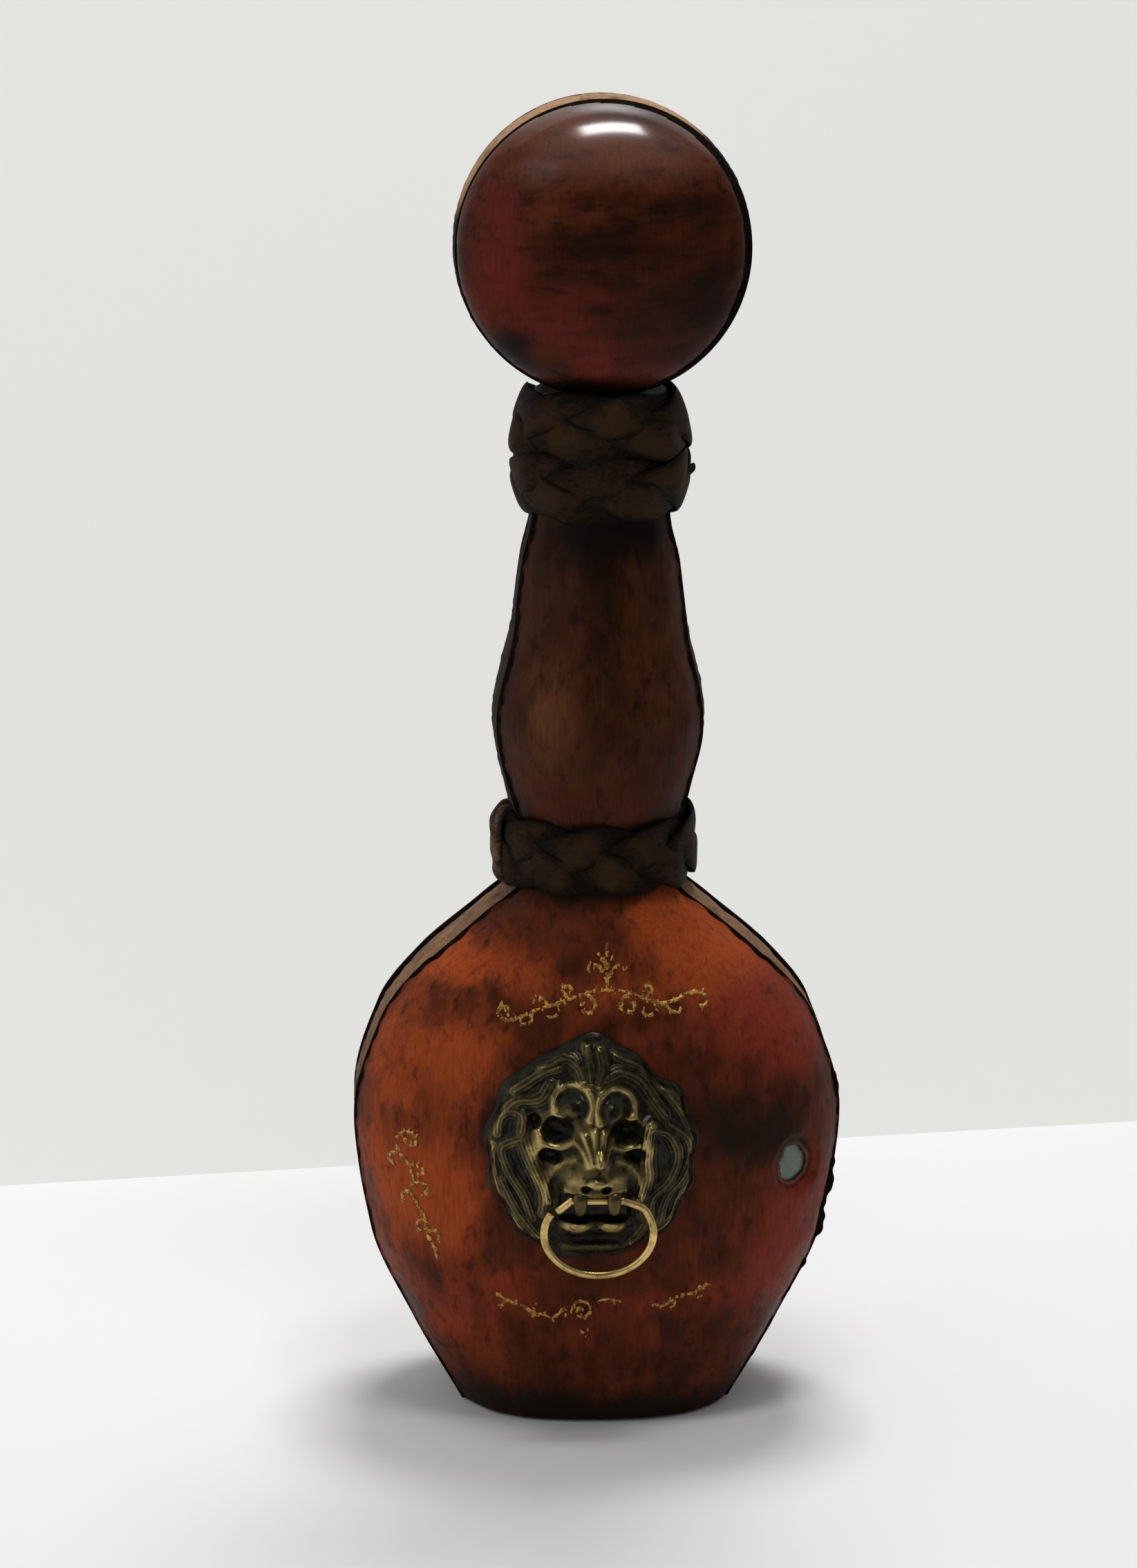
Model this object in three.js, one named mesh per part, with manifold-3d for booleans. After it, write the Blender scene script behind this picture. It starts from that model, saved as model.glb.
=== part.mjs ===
// Leather-covered decanter with a disc stopper, two plaited collars and a brass lion mask with a pull ring.
// Millimetres, +Z up. The origin is the centre of the base, on the table. The front, with the mask, faces -Y.

import * as THREE from 'three';
import { mergeVertices } from 'three/addons/utils/BufferGeometryUtils.js';
import Module from 'manifold-3d';

const wasm = await Module();
wasm.setup();

// Driving dimensions

// Space left between pieces that are glued, laid or fitted against each other
const GAP = 0.3;

// Stations up the bottle: rise above the station below, with the width and depth over the leather there
const STATIONS = {
  foot: { rise: 0, width: 68, depth: 56 },
  heel: { rise: 22, width: 91.8, depth: 69 },
  lowerBody: { rise: 25, width: 113.6, depth: 77 },
  belly: { rise: 29, width: 121.2, depth: 79 },
  upperBody: { rise: 22, width: 108.8, depth: 73 },
  shoulder: { rise: 15, width: 86.8, depth: 61 },
  slope: { rise: 12, width: 60, depth: 49.5 },
  throat: { rise: 9, width: 42, depth: 41 },
  waist: { rise: 7.5, width: 39, depth: 39 },
  neckFoot: { rise: 9.5, width: 44.8, depth: 44.8 },
  neckBulge: { rise: 22.5, width: 53.2, depth: 53.2 },
  neckTaper: { rise: 22.5, width: 44.4, depth: 44.4 },
  neckWaist: { rise: 16, width: 39.8, depth: 39.8 },
  collarSeat: { rise: 12, width: 35.2, depth: 35.2 },
  mouth: { rise: 25.5, width: 34.8, depth: 34.8 },
};
const BODY_SQUARENESS = 2.45;
const ROUND = 2;

const PANEL_THICKNESS = 2.4;
const PANEL_LIFT = 0.8;
const STRIP_SINK = 0.7;
const BODY_STRIP_WIDTH = 21;
const NECK_STRIP_WIDTH = 19;
const PAD_THICKNESS = 2.2;

const GLASS_WALL = 3.5;
const GLASS_FLOOR = 6;
const GLASS_HEEL = 2;
const BORE_RADIUS = 10;
const BORE_DEPTH = 28;

// Flat plaits of three strips. A strip swings up and down once a wave, lifts over and dips under its
// neighbours twice, and tilts to lie flat on them; the ripples shape the lift and the tilt at the crossings.
const LOWER_PLAIT = {
  stripWidth: 6.8, stripThickness: 0.9, edgeThickness: 0.4, swing: 5.1, lift: 1.455, liftRipple: -0.272,
  tilt: 13.16, tiltRipple: 11.19, waves: 3, steps: 60,
};
const UPPER_PLAIT = {
  stripWidth: 6.4, stripThickness: 0.9, edgeThickness: 0.4, swing: 4.8, lift: 1.385, liftRipple: -0.257,
  tilt: 13.26, tiltRipple: 12.15, waves: 2, steps: 40,
};
const UPPER_COLLAR_ABOVE_MOUTH = 1;
const ROW_TURN = Math.PI / 4;
const STRANDS = 3;
const STRIP_SLANT = 0.45;

const KEEPER_WIDTH = 6;
const KEEPER_THICKNESS = 1.3;

const STOPPER_RADIUS = 35.2;
const STOPPER_DEPTH = 50;
const STOPPER_RIM_WIDTH = 16;
const STOPPER_DOME_SQUARENESS = 2.2;
const STOPPER_LEATHER = 2.2;
const RIM_SINK = 0.5;
const FLANGE_RADIUS = 16;
const FLANGE_THICKNESS = 2.1;
const FLANGE_LIP = 1.5;
const FLANGE_LIP_WIDTH = 2.6;
const SPIGOT_RADIUS = 6;
const CORK_LENGTH = 24;
const CORK_TAPER = 0.8;

// Lion mask: its centre on the front, its outline and its relief above the leather
const MASK_X = -2.3;
const MASK_BELOW_BELLY = 1;
const MASK_HALF_WIDTH = 25.5;
const MASK_HALF_HEIGHT = 28;
const MASK_RIM = 1.8;
const MASK_CROWN = 5;
const MASK_LOCKS = 13;
const MASK_LOCK_RELIEF = 1.1;
const MASK_LOCK_SWEEP = 4;
const MANE_BEGINS = 0.55;
const MANE_FULL = 0.8;
const MANE_FADES = 0.93;

// Features of the face, across and up from the mask's centre. A paired one is on both sides; a full one has a
// flat top and steep sides.
const FACE = {
  brow: { across: 4.7, up: 13.5, halfWidth: 3.6, halfHeight: 3.2, rise: 2.6, paired: true },
  eye: { across: 8.2, up: 6.4, halfWidth: 3.4, halfHeight: 2.6, rise: -3, paired: true },
  cheek: { across: 11.5, up: -1, halfWidth: 3.6, halfHeight: 4.4, rise: 1.2, paired: true },
  noseBridge: { across: 0.4, up: 4, halfWidth: 2.6, halfHeight: 7, rise: 3.2 },
  muzzle: { across: 0.2, up: -4.4, halfWidth: 8.4, halfHeight: 4.4, rise: 5.6, full: true },
  noseTip: { across: 0.4, up: -3.4, halfWidth: 3, halfHeight: 2.4, rise: 2.2 },
  chin: { across: 0, up: -21, halfWidth: 7.5, halfHeight: 4.5, rise: 1.4, full: true },
};
const SOFT_POWER = 2;
const FULL_POWER = 4;
const MOUTH = { left: -8.6, right: 9, top: -8.6, bottom: -17, floor: 5.5 };
const FANG_OFFSETS = [-3.6, 4.5];
const FANG_WIDTH = 3.3;
const FANG_DEPTH = 6;
const FANG_BELOW_BAR = 3.4;
const FANG_TAPER = 0.8;

// Pull ring: a bar through both fangs, bent down to a cut end at the left and round into an oval bow at the
// right
const WIRE_RADIUS = 1;
const BAR_BELOW_MASK = 10.2;
const BAR_STAND_OFF = 10;
const BAR_OVERHANG = 0.6;
const STUB_LENGTH = 3.4;
const STUB_DROP = 2.8;
const BOW_FROM_MASK = 0.9;
const BOW_HALF_WIDTH = 13.1;
const BOW_HALF_HEIGHT = 10.5;
const BOW_DROP = 8.2;
const BOW_START = 38;
const BOW_END = -210;

// How finely the round forms are divided
const PANEL_COLUMNS = 10;
const STRIP_COLUMNS = 4;
const LEVELS_PER_STATION = 2;
const DISC_SEGMENTS = 30;
const DOME_STEPS = 5;
const BOW_POINTS = 18;
const RING_STEPS = 46;
const WIRE_SIDES = 8;
const MASK_RINGS = 12;
const MASK_SPOKES = 52;
const MASK_BACK_RINGS = 3;

const radians = THREE.MathUtils.degToRad;

// Closed bodies from rows of points

function bodyFrom(points, triangles) {
  const geometry = new THREE.BufferGeometry();
  geometry.setAttribute('position', new THREE.Float32BufferAttribute(points.flatMap((p) => p.toArray()), 3));
  geometry.setIndex(triangles);
  return facingOut(geometry);
}

function facingOut(geometry) {
  const position = geometry.getAttribute('position');
  const index = geometry.getIndex();
  const corner = [new THREE.Vector3(), new THREE.Vector3(), new THREE.Vector3()];
  let volume = 0;
  for (let i = 0; i < index.count; i += 3) {
    corner.forEach((point, k) => point.fromBufferAttribute(position, index.getX(i + k)));
    volume += corner[0].dot(corner[1].cross(corner[2]));
  }
  if (volume < 0) {
    for (let i = 0; i < index.count; i += 3) {
      const second = index.getX(i + 1);
      index.setX(i + 1, index.getX(i + 2));
      index.setX(i + 2, second);
    }
  }
  geometry.computeVertexNormals();
  return geometry;
}

// Joins rings of equal count into one skin; "ends" is 'loop', 'centre' (a fan at each end) or 'strip' (flat
// sheet ends)
function loft(rings, ends) {
  const count = rings[0].length;
  const points = rings.flat();
  const triangles = [];
  const bands = ends === 'loop' ? rings.length : rings.length - 1;
  for (let band = 0; band < bands; band += 1) {
    const low = band * count;
    const high = ((band + 1) % rings.length) * count;
    for (let i = 0; i < count; i += 1) {
      const next = (i + 1) % count;
      triangles.push(low + i, low + next, high + next, low + i, high + next, high + i);
    }
  }
  const last = (rings.length - 1) * count;
  if (ends === 'centre') {
    const centreOf = (ring) => ring.reduce((sum, p) => sum.add(p), new THREE.Vector3()).divideScalar(count);
    points.push(centreOf(rings[0]), centreOf(rings.at(-1)));
    for (let i = 0; i < count; i += 1) {
      const next = (i + 1) % count;
      triangles.push(points.length - 2, next, i, points.length - 1, last + i, last + next);
    }
  }
  if (ends === 'strip') {
    for (let i = 0; i < count / 2 - 1; i += 1) {
      const far = count - 1 - i;
      triangles.push(i, far, far - 1, i, far - 1, i + 1);
      triangles.push(last + i, last + far - 1, last + far, last + i, last + i + 1, last + far - 1);
    }
  }
  return bodyFrom(points, triangles);
}

function lathe(profile, segments) {
  const geometry = new THREE.LatheGeometry(profile.map(([r, h]) => new THREE.Vector2(r, h)), segments);
  return facingOut(welded(geometry));
}

function uprightLathe(profile, segments) {
  return lathe(profile, segments).rotateX(Math.PI / 2);
}

// Cutting and joining

function welded(geometry) {
  const bare = geometry.clone();
  bare.deleteAttribute('normal');
  bare.deleteAttribute('uv');
  const merged = mergeVertices(bare, 1e-4);
  const index = merged.getIndex().array;
  const kept = [];
  for (let i = 0; i < index.length; i += 3) {
    const [a, b, c] = [index[i], index[i + 1], index[i + 2]];
    if (a !== b && b !== c && c !== a) kept.push(a, b, c);
  }
  merged.setIndex(kept);
  return merged;
}

function solid(geometry) {
  const mesh = facingOut(welded(geometry));
  return new wasm.Manifold(new wasm.Mesh({
    numProp: 3,
    vertProperties: new Float32Array(mesh.getAttribute('position').array),
    triVerts: new Uint32Array(mesh.getIndex().array),
  }));
}

function geometryOf(manifold) {
  const mesh = manifold.getMesh();
  const geometry = new THREE.BufferGeometry();
  geometry.setAttribute('position', new THREE.BufferAttribute(new Float32Array(mesh.vertProperties), 3));
  geometry.setIndex(Array.from(mesh.triVerts));
  return facingOut(geometry);
}

// The bottle's outer form: smooth curves through the stations, squared in the body and round in the neck

const stationList = [];
for (const station of Object.values(STATIONS)) {
  const below = stationList.at(-1)?.height ?? 0;
  stationList.push(Object.assign(station, { height: below + station.rise }));
}
const MOUTH_HEIGHT = STATIONS.mouth.height;
const LOWER_COLLAR_HEIGHT = STATIONS.waist.height;

// Smooth curve through the stations that never swings past them
function through(key, height) {
  const last = stationList.length - 1;
  const z = THREE.MathUtils.clamp(height, stationList[0].height, stationList[last].height);
  let i = 0;
  while (i < last - 1 && z > stationList[i + 1].height) i += 1;
  const rise = (k) => (stationList[k + 1][key] - stationList[k][key])
    / (stationList[k + 1].height - stationList[k].height);
  const slopeAt = (k) => {
    if (k === 0) return rise(0);
    if (k === last) return rise(last - 1);
    const [before, after] = [rise(k - 1), rise(k)];
    return before * after <= 0 ? 0 : (2 * before * after) / (before + after);
  };
  const [low, high] = [stationList[i], stationList[i + 1]];
  const span = high.height - low.height;
  const t = (z - low.height) / span;
  const blend = t * t * (3 - 2 * t);
  const lowPull = t * (1 - t) * (1 - t) * span * slopeAt(i);
  const highPull = t * t * (1 - t) * span * slopeAt(i + 1);
  return low[key] + (high[key] - low[key]) * blend + lowPull - highPull;
}

const halfWidth = (z) => through('width', z) / 2;
const halfDepth = (z) => through('depth', z) / 2;
const leatherRadius = (z) => Math.max(halfWidth(z), halfDepth(z));

function squareness(z) {
  const { upperBody, throat } = STATIONS;
  const neckShare = THREE.MathUtils.smoothstep(z, upperBody.height, throat.height);
  return ROUND + (BODY_SQUARENESS - ROUND) * (1 - neckShare);
}

const rounded = (value, power) => Math.sign(value) * Math.abs(value) ** power;

function onForm(z, angle) {
  const power = 2 / squareness(z);
  const x = halfWidth(z) * rounded(Math.cos(angle), power);
  const y = halfDepth(z) * rounded(Math.sin(angle), power);
  return new THREE.Vector3(x, y, z);
}

const PROBE_HEIGHT = 0.4;
const PROBE_ANGLE = 0.02;

function outwardAt(z, angle) {
  const top = stationList.at(-1).height;
  const [below, above] = [Math.max(z - PROBE_HEIGHT, 0), Math.min(z + PROBE_HEIGHT, top)];
  const up = onForm(above, angle).sub(onForm(below, angle));
  const around = onForm(z, angle + PROBE_ANGLE).sub(onForm(z, angle - PROBE_ANGLE));
  return around.cross(up).normalize();
}

function layerPoint(z, angle, inset) {
  return onForm(z, angle).addScaledVector(outwardAt(z, angle), -inset);
}

// Height of the front of the leather over any point of the front, as its distance before the centre plane
function frontDepth(x, z) {
  const power = squareness(z);
  const across = Math.min(Math.abs(x) / halfWidth(z), 1) ** power;
  return halfDepth(z) * (1 - across) ** (1 / power);
}

// Leather panels and side strips

const seamLow = LOWER_COLLAR_HEIGHT - GAP / 2;
const seamHigh = LOWER_COLLAR_HEIGHT + GAP / 2;

function levelsBetween(low, high, perStation = LEVELS_PER_STATION) {
  const inner = stationList.map((s) => s.height).filter((z) => z > low + 1 && z < high - 1);
  const knots = [low, ...inner, high];
  const levels = [low];
  for (let i = 0; i < knots.length - 1; i += 1) {
    for (let k = 1; k <= perStation; k += 1) {
      levels.push(knots[i] + ((knots[i + 1] - knots[i]) * k) / perStation);
    }
  }
  return levels;
}

const bodyLevels = levelsBetween(PANEL_LIFT, seamLow);
const neckLevels = levelsBetween(seamHigh, MOUTH_HEIGHT);

function stripWidth(z) {
  const { shoulder, throat } = STATIONS;
  return THREE.MathUtils.lerp(BODY_STRIP_WIDTH, NECK_STRIP_WIDTH,
    THREE.MathUtils.smoothstep(z, shoulder.height, throat.height));
}

// Angle at which a line at the given distance from the middle plane meets the side of the form
function angleAt(z, distance) {
  return Math.asin((distance / halfDepth(z)) ** (squareness(z) / 2));
}

// Angles across one panel at a height, from its right edge at the front round to its left edge
function panelAngles(z) {
  const edge = angleAt(z, stripWidth(z) / 2);
  const angles = [];
  for (let i = 0; i <= PANEL_COLUMNS; i += 1) {
    angles.push(edge + ((Math.PI - 2 * edge) * i) / PANEL_COLUMNS);
  }
  return angles;
}

// Angles across the right side strip, which leaves a gap to the panels when its margin is one
function stripAngles(z, margin = GAP) {
  const edge = angleAt(z, stripWidth(z) / 2 - margin);
  const angles = [];
  for (let i = 0; i <= STRIP_COLUMNS; i += 1) angles.push(edge * ((2 * i) / STRIP_COLUMNS - 1));
  return angles;
}

function sheet(levels, anglesAt, turn, outerInset) {
  const rings = levels.map((z) => {
    const angles = anglesAt(z).map((angle) => angle + turn);
    const outer = angles.map((angle) => layerPoint(z, angle, outerInset));
    const inner = angles.map((angle) => layerPoint(z, angle, PANEL_THICKNESS));
    return [...outer, ...inner.reverse()];
  });
  return loft(rings, 'strip');
}

const frontPanel = (levels) => sheet(levels, panelAngles, Math.PI, 0);
const backPanel = (levels) => sheet(levels, panelAngles, 0, 0);
const leftStrip = (levels) => sheet(levels, stripAngles, Math.PI, STRIP_SINK);
const rightStrip = (levels) => sheet(levels, stripAngles, 0, STRIP_SINK);

function basePad() {
  const inset = PANEL_THICKNESS + GAP;
  const ring = (z) => ringAngles(PANEL_LIFT).map((angle) => {
    const edge = onForm(0, angle);
    const reach = edge.length();
    return edge.multiplyScalar((reach - inset) / reach).setZ(z);
  });
  return loft([ring(0), ring(PAD_THICKNESS)], 'centre');
}

// Glass bottle: one skin that runs up the outside, over the lip and down the inside

function ringAngles(z) {
  const half = [...stripAngles(z, 0), ...panelAngles(z).slice(1, -1)];
  return [...half, ...half.map((angle) => angle + Math.PI)];
}

function drawnIn(ring, amount, z) {
  return ring.map((p) => {
    const reach = Math.hypot(p.x, p.y);
    return new THREE.Vector3(p.x, p.y, 0).multiplyScalar((reach - amount) / reach).setZ(z);
  });
}

function glassBottle() {
  const skin = PANEL_THICKNESS + GAP;
  const levels = [...bodyLevels, ...neckLevels];
  const outer = levels.map((z) => ringAngles(z).map((angle) => layerPoint(z, angle, skin)));
  outer[0] = drawnIn(outer[0], GLASS_HEEL, PAD_THICKNESS + GAP);
  outer.at(-1).forEach((p) => p.setZ(MOUTH_HEIGHT));

  const boreBottom = MOUTH_HEIGHT - BORE_DEPTH;
  const bore = (z) => ringAngles(z).map((angle) => (
    new THREE.Vector3(Math.cos(angle), Math.sin(angle), 0).multiplyScalar(BORE_RADIUS).setZ(z)));
  const floorHeight = PAD_THICKNESS + GAP + GLASS_FLOOR;
  const innerLevels = levelsBetween(floorHeight, MOUTH_HEIGHT, 1).filter((z) => z < boreBottom - GLASS_WALL);
  const inner = innerLevels.map((z) => ringAngles(z).map((angle) => layerPoint(z, angle, skin + GLASS_WALL)));
  inner[0] = drawnIn(inner[0], GLASS_HEEL, floorHeight);
  const inside = [...inner, bore(boreBottom), bore(MOUTH_HEIGHT)];
  return loft([...outer, ...inside.reverse()], 'centre');
}

// Plaited collars

// Corners of one strip's section at a phase of the plait: distance out from the mean radius, and height
function stripSection(plait, phase) {
  const tilt = radians(plait.tilt * Math.cos(phase) + plait.tiltRipple * Math.cos(3 * phase));
  const reach = (plait.stripWidth / 2) * Math.hypot(1, STRIP_SLANT * Math.cos(phase));
  const [middle, edge] = [plait.stripThickness / 2, plait.edgeThickness / 2];
  const corners = [[edge, reach], [middle, 0], [edge, -reach], [-edge, -reach], [-middle, 0], [-edge, reach]];
  const out = plait.lift * Math.sin(2 * phase) + plait.liftRipple * Math.sin(4 * phase);
  const up = plait.swing * Math.sin(phase);
  return corners.map(([a, b]) => ({
    out: out + a * Math.cos(tilt) + b * Math.sin(tilt),
    up: up + b * Math.cos(tilt) - a * Math.sin(tilt),
  }));
}

const PHASES = 72;

function allCorners(plait) {
  const corners = [];
  for (let i = 0; i < PHASES; i += 1) corners.push(...stripSection(plait, (2 * Math.PI * i) / PHASES));
  return corners;
}

const plaitReach = (plait) => Math.max(...allCorners(plait).map((c) => c.up));

// Mean radius that lays the plait on the leather at a height, and how far the plait reaches
function seatPlait(plait, height) {
  const corners = allCorners(plait);
  const radius = Math.max(...corners.map((c) => leatherRadius(height + c.up) + GAP - c.out));
  return {
    height,
    radius,
    outer: radius + Math.max(...corners.map((c) => c.out)),
    top: height + plaitReach(plait),
    bottom: height - plaitReach(plait),
  };
}

function strand(plait, seat, number, turn) {
  const rings = [];
  for (let i = 0; i < plait.steps; i += 1) {
    const angle = (2 * Math.PI * i) / plait.steps;
    const phase = plait.waves * (angle + turn) + (2 * Math.PI * number) / STRANDS;
    rings.push(stripSection(plait, phase).map(({ out, up }) => new THREE.Vector3(
      (seat.radius + out) * Math.cos(angle), (seat.radius + out) * Math.sin(angle), seat.height + up)));
  }
  return loft(rings, 'loop');
}

const lowerSeat = seatPlait(LOWER_PLAIT, LOWER_COLLAR_HEIGHT);
const upperReach = plaitReach(UPPER_PLAIT);
const upperTopRow = MOUTH_HEIGHT + UPPER_COLLAR_ABOVE_MOUTH - upperReach;
const upperSeats = {
  bottom: seatPlait(UPPER_PLAIT, upperTopRow - 2 * upperReach - GAP),
  top: seatPlait(UPPER_PLAIT, upperTopRow),
};

// Keeper: a leather staple over the lower plait at the left, its ends tucked against the leather
function keeper() {
  const [top, bottom] = [lowerSeat.top + GAP, lowerSeat.bottom - GAP];
  const seatOver = (low, high) => Math.max(leatherRadius(low), leatherRadius(high)) + GAP;
  const topSeat = seatOver(top, top + KEEPER_THICKNESS);
  const bottomSeat = seatOver(bottom - KEEPER_THICKNESS, bottom);
  const inner = Math.max(lowerSeat.outer + GAP, topSeat, bottomSeat);
  const outer = inner + KEEPER_THICKNESS;
  const outline = new THREE.Shape([
    [outer, bottom - KEEPER_THICKNESS], [outer, top + KEEPER_THICKNESS], [topSeat, top + KEEPER_THICKNESS],
    [topSeat, top], [inner, top], [inner, bottom], [bottomSeat, bottom],
    [bottomSeat, bottom - KEEPER_THICKNESS],
  ].map(([r, z]) => new THREE.Vector2(r, z)));
  const staple = new THREE.ExtrudeGeometry(outline, { depth: KEEPER_WIDTH, bevelEnabled: false });
  staple.translate(0, 0, -KEEPER_WIDTH / 2).rotateX(Math.PI / 2).rotateZ(Math.PI);
  return facingOut(welded(staple));
}

// Stopper

const flangeTop = MOUTH_HEIGHT + GAP + FLANGE_THICKNESS;
const stopperCentre = flangeTop + GAP + STOPPER_RADIUS;
const rimHalf = STOPPER_RIM_WIDTH / 2;
const domeRise = STOPPER_DEPTH / 2 - rimHalf;

// Dome profile from the rim to the axis, drawn in by an inset
function domeProfile(inset) {
  const power = 2 / STOPPER_DOME_SQUARENESS;
  const profile = [];
  for (let i = 0; i <= DOME_STEPS; i += 1) {
    const angle = (Math.PI / 2) * (i / DOME_STEPS);
    const across = i === DOME_STEPS ? 0 : Math.cos(angle) ** power;
    const out = rimHalf + (domeRise - inset) * Math.sin(angle) ** power;
    profile.push([(STOPPER_RADIUS - inset) * across, out]);
  }
  return profile;
}

function stopperDisc(side) {
  const profile = [...domeProfile(0).reverse(), ...domeProfile(STOPPER_LEATHER)];
  const disc = lathe(profile, DISC_SEGMENTS);
  if (side < 0) disc.rotateX(Math.PI);
  return disc.translate(0, 0, stopperCentre);
}

// Rim strip: a band round the disc whose two ends meet the spigot at the bottom
function stopperRimStrip() {
  const outer = STOPPER_RADIUS - RIM_SINK;
  const inner = STOPPER_RADIUS - STOPPER_LEATHER;
  const half = rimHalf - GAP;
  const open = Math.asin((SPIGOT_RADIUS + GAP) / inner);
  const rings = [];
  for (let i = 0; i <= DISC_SEGMENTS; i += 1) {
    const angle = -Math.PI / 2 + open + ((2 * Math.PI - 2 * open) * i) / DISC_SEGMENTS;
    const section = [[outer, -half], [outer, half], [inner, half], [inner, -half]];
    rings.push(section.map(([r, y]) => (
      new THREE.Vector3(r * Math.cos(angle), y, stopperCentre + r * Math.sin(angle)))));
  }
  return loft(rings, 'strip');
}

const corkBottom = MOUTH_HEIGHT - CORK_LENGTH;

function stopperCore() {
  const back = domeProfile(STOPPER_LEATHER + GAP);
  const front = back.map(([r, y]) => [r, -y]);
  const knob = lathe([...front.reverse(), ...back], DISC_SEGMENTS).translate(0, 0, stopperCentre);
  const spigot = uprightLathe([[0, corkBottom], [SPIGOT_RADIUS, corkBottom],
    [SPIGOT_RADIUS, stopperCentre], [0, stopperCentre]], WIRE_SIDES * 2);
  return geometryOf(solid(knob).add(solid(spigot)));
}

function stopperCork() {
  const inner = SPIGOT_RADIUS + GAP;
  const top = BORE_RADIUS - GAP;
  return uprightLathe([[inner, corkBottom], [top - CORK_TAPER, corkBottom], [top, MOUTH_HEIGHT],
    [inner, MOUTH_HEIGHT], [inner, corkBottom]], DISC_SEGMENTS);
}

function stopperFlange() {
  const inner = SPIGOT_RADIUS + GAP;
  const bottom = MOUTH_HEIGHT + GAP;
  return uprightLathe([[inner, bottom], [FLANGE_RADIUS, bottom], [FLANGE_RADIUS, flangeTop + FLANGE_LIP],
    [FLANGE_RADIUS - FLANGE_LIP_WIDTH, flangeTop], [inner, flangeTop], [inner, bottom]], DISC_SEGMENTS);
}

// Lion mask

const maskHeight = STATIONS.belly.height - MASK_BELOW_BELLY;
const barHeight = maskHeight - BAR_BELOW_MASK;

// Outline radius at an angle: an oval with a lock of mane at each scallop
function maskReach(angle) {
  const plain = 1 / Math.hypot(Math.cos(angle) / MASK_HALF_WIDTH, Math.sin(angle) / MASK_HALF_HEIGHT);
  const locks = (MASK_LOCK_RELIEF / 2) * Math.cos(MASK_LOCKS * (angle - Math.PI / 2));
  return plain + locks - MASK_LOCK_RELIEF / 2;
}

function featureRelief(feature, u, v) {
  const across = feature.paired ? Math.abs(u) : u;
  const sideways = (across - feature.across) / feature.halfWidth;
  const away = Math.hypot(sideways, (v - feature.up) / feature.halfHeight);
  return feature.rise * Math.exp(-(away ** (feature.full ? FULL_POWER : SOFT_POWER)));
}

// Relief of the face above the leather, u to the right and v up from the mask's centre
function maskRelief(u, v) {
  const angle = Math.atan2(v, u);
  const share = Math.min(Math.hypot(u, v) / maskReach(angle), 1);
  const mane = THREE.MathUtils.smoothstep(share, MANE_BEGINS, MANE_FULL)
    * (1 - THREE.MathUtils.smoothstep(share, MANE_FADES, 1));
  const lock = Math.cos(MASK_LOCKS * (angle - Math.PI / 2) + MASK_LOCK_SWEEP * share * Math.sign(u));
  const face = Object.values(FACE).reduce((sum, feature) => sum + featureRelief(feature, u, v), 0);
  return MASK_RIM + MASK_CROWN * (1 - share * share) + MASK_LOCK_RELIEF * mane * lock + face;
}

function maskPoint(u, v, relief) {
  const [x, z] = [MASK_X + u, maskHeight + v];
  return new THREE.Vector3(x, -frontDepth(x, z) - relief, z);
}

function maskFace() {
  const spoke = (share, isFront) => {
    const ring = [];
    for (let i = 0; i < MASK_SPOKES; i += 1) {
      const angle = (2 * Math.PI * i) / MASK_SPOKES;
      const reach = maskReach(angle) * share;
      const [u, v] = [reach * Math.cos(angle), reach * Math.sin(angle)];
      ring.push(maskPoint(u, v, isFront ? maskRelief(u, v) : GAP));
    }
    return ring;
  };
  const rings = [];
  for (let i = 1; i <= MASK_RINGS; i += 1) rings.push(spoke(i / MASK_RINGS, true));
  for (let i = MASK_BACK_RINGS; i >= 1; i -= 1) rings.push(spoke(i / MASK_BACK_RINGS, false));
  return loft(rings, 'centre');
}

const leatherAtBar = frontDepth(MASK_X, barHeight);
const barY = -leatherAtBar - BAR_STAND_OFF;

function fang(offset) {
  const lipZ = maskHeight + MOUTH.top + GAP;
  const tipZ = barHeight - FANG_BELOW_BAR;
  const row = (z, width, depth) => [[-1, -1], [1, -1], [1, 1], [-1, 1]].map(([sx, sy]) => new THREE.Vector3(
    MASK_X + offset + (sx * width) / 2, barY + (sy * depth) / 2, z));
  const tip = row(tipZ, FANG_WIDTH * FANG_TAPER, FANG_DEPTH * FANG_TAPER);
  const root = row(lipZ, FANG_WIDTH, FANG_DEPTH);
  return solid(loft([tip, root], 'centre'));
}

function lionMask() {
  const mouthWidth = MOUTH.right - MOUTH.left;
  const mouthHeight = MOUTH.top - MOUTH.bottom;
  const reach = BAR_STAND_OFF + MASK_HALF_WIDTH;
  const mouth = new THREE.BoxGeometry(mouthWidth, reach, mouthHeight).translate(
    MASK_X + (MOUTH.left + MOUTH.right) / 2,
    -leatherAtBar - MOUTH.floor - reach / 2,
    maskHeight + (MOUTH.top + MOUTH.bottom) / 2);
  const hole = new THREE.CylinderGeometry(WIRE_RADIUS + GAP, WIRE_RADIUS + GAP, mouthWidth, WIRE_SIDES * 2);
  hole.rotateZ(Math.PI / 2).translate(MASK_X + (MOUTH.left + MOUTH.right) / 2, barY, barHeight);
  const fangs = FANG_OFFSETS.map(fang).reduce((joined, next) => joined.add(next));
  return geometryOf(solid(maskFace()).subtract(solid(mouth)).add(fangs).subtract(solid(hole)));
}

// Pull ring

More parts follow.
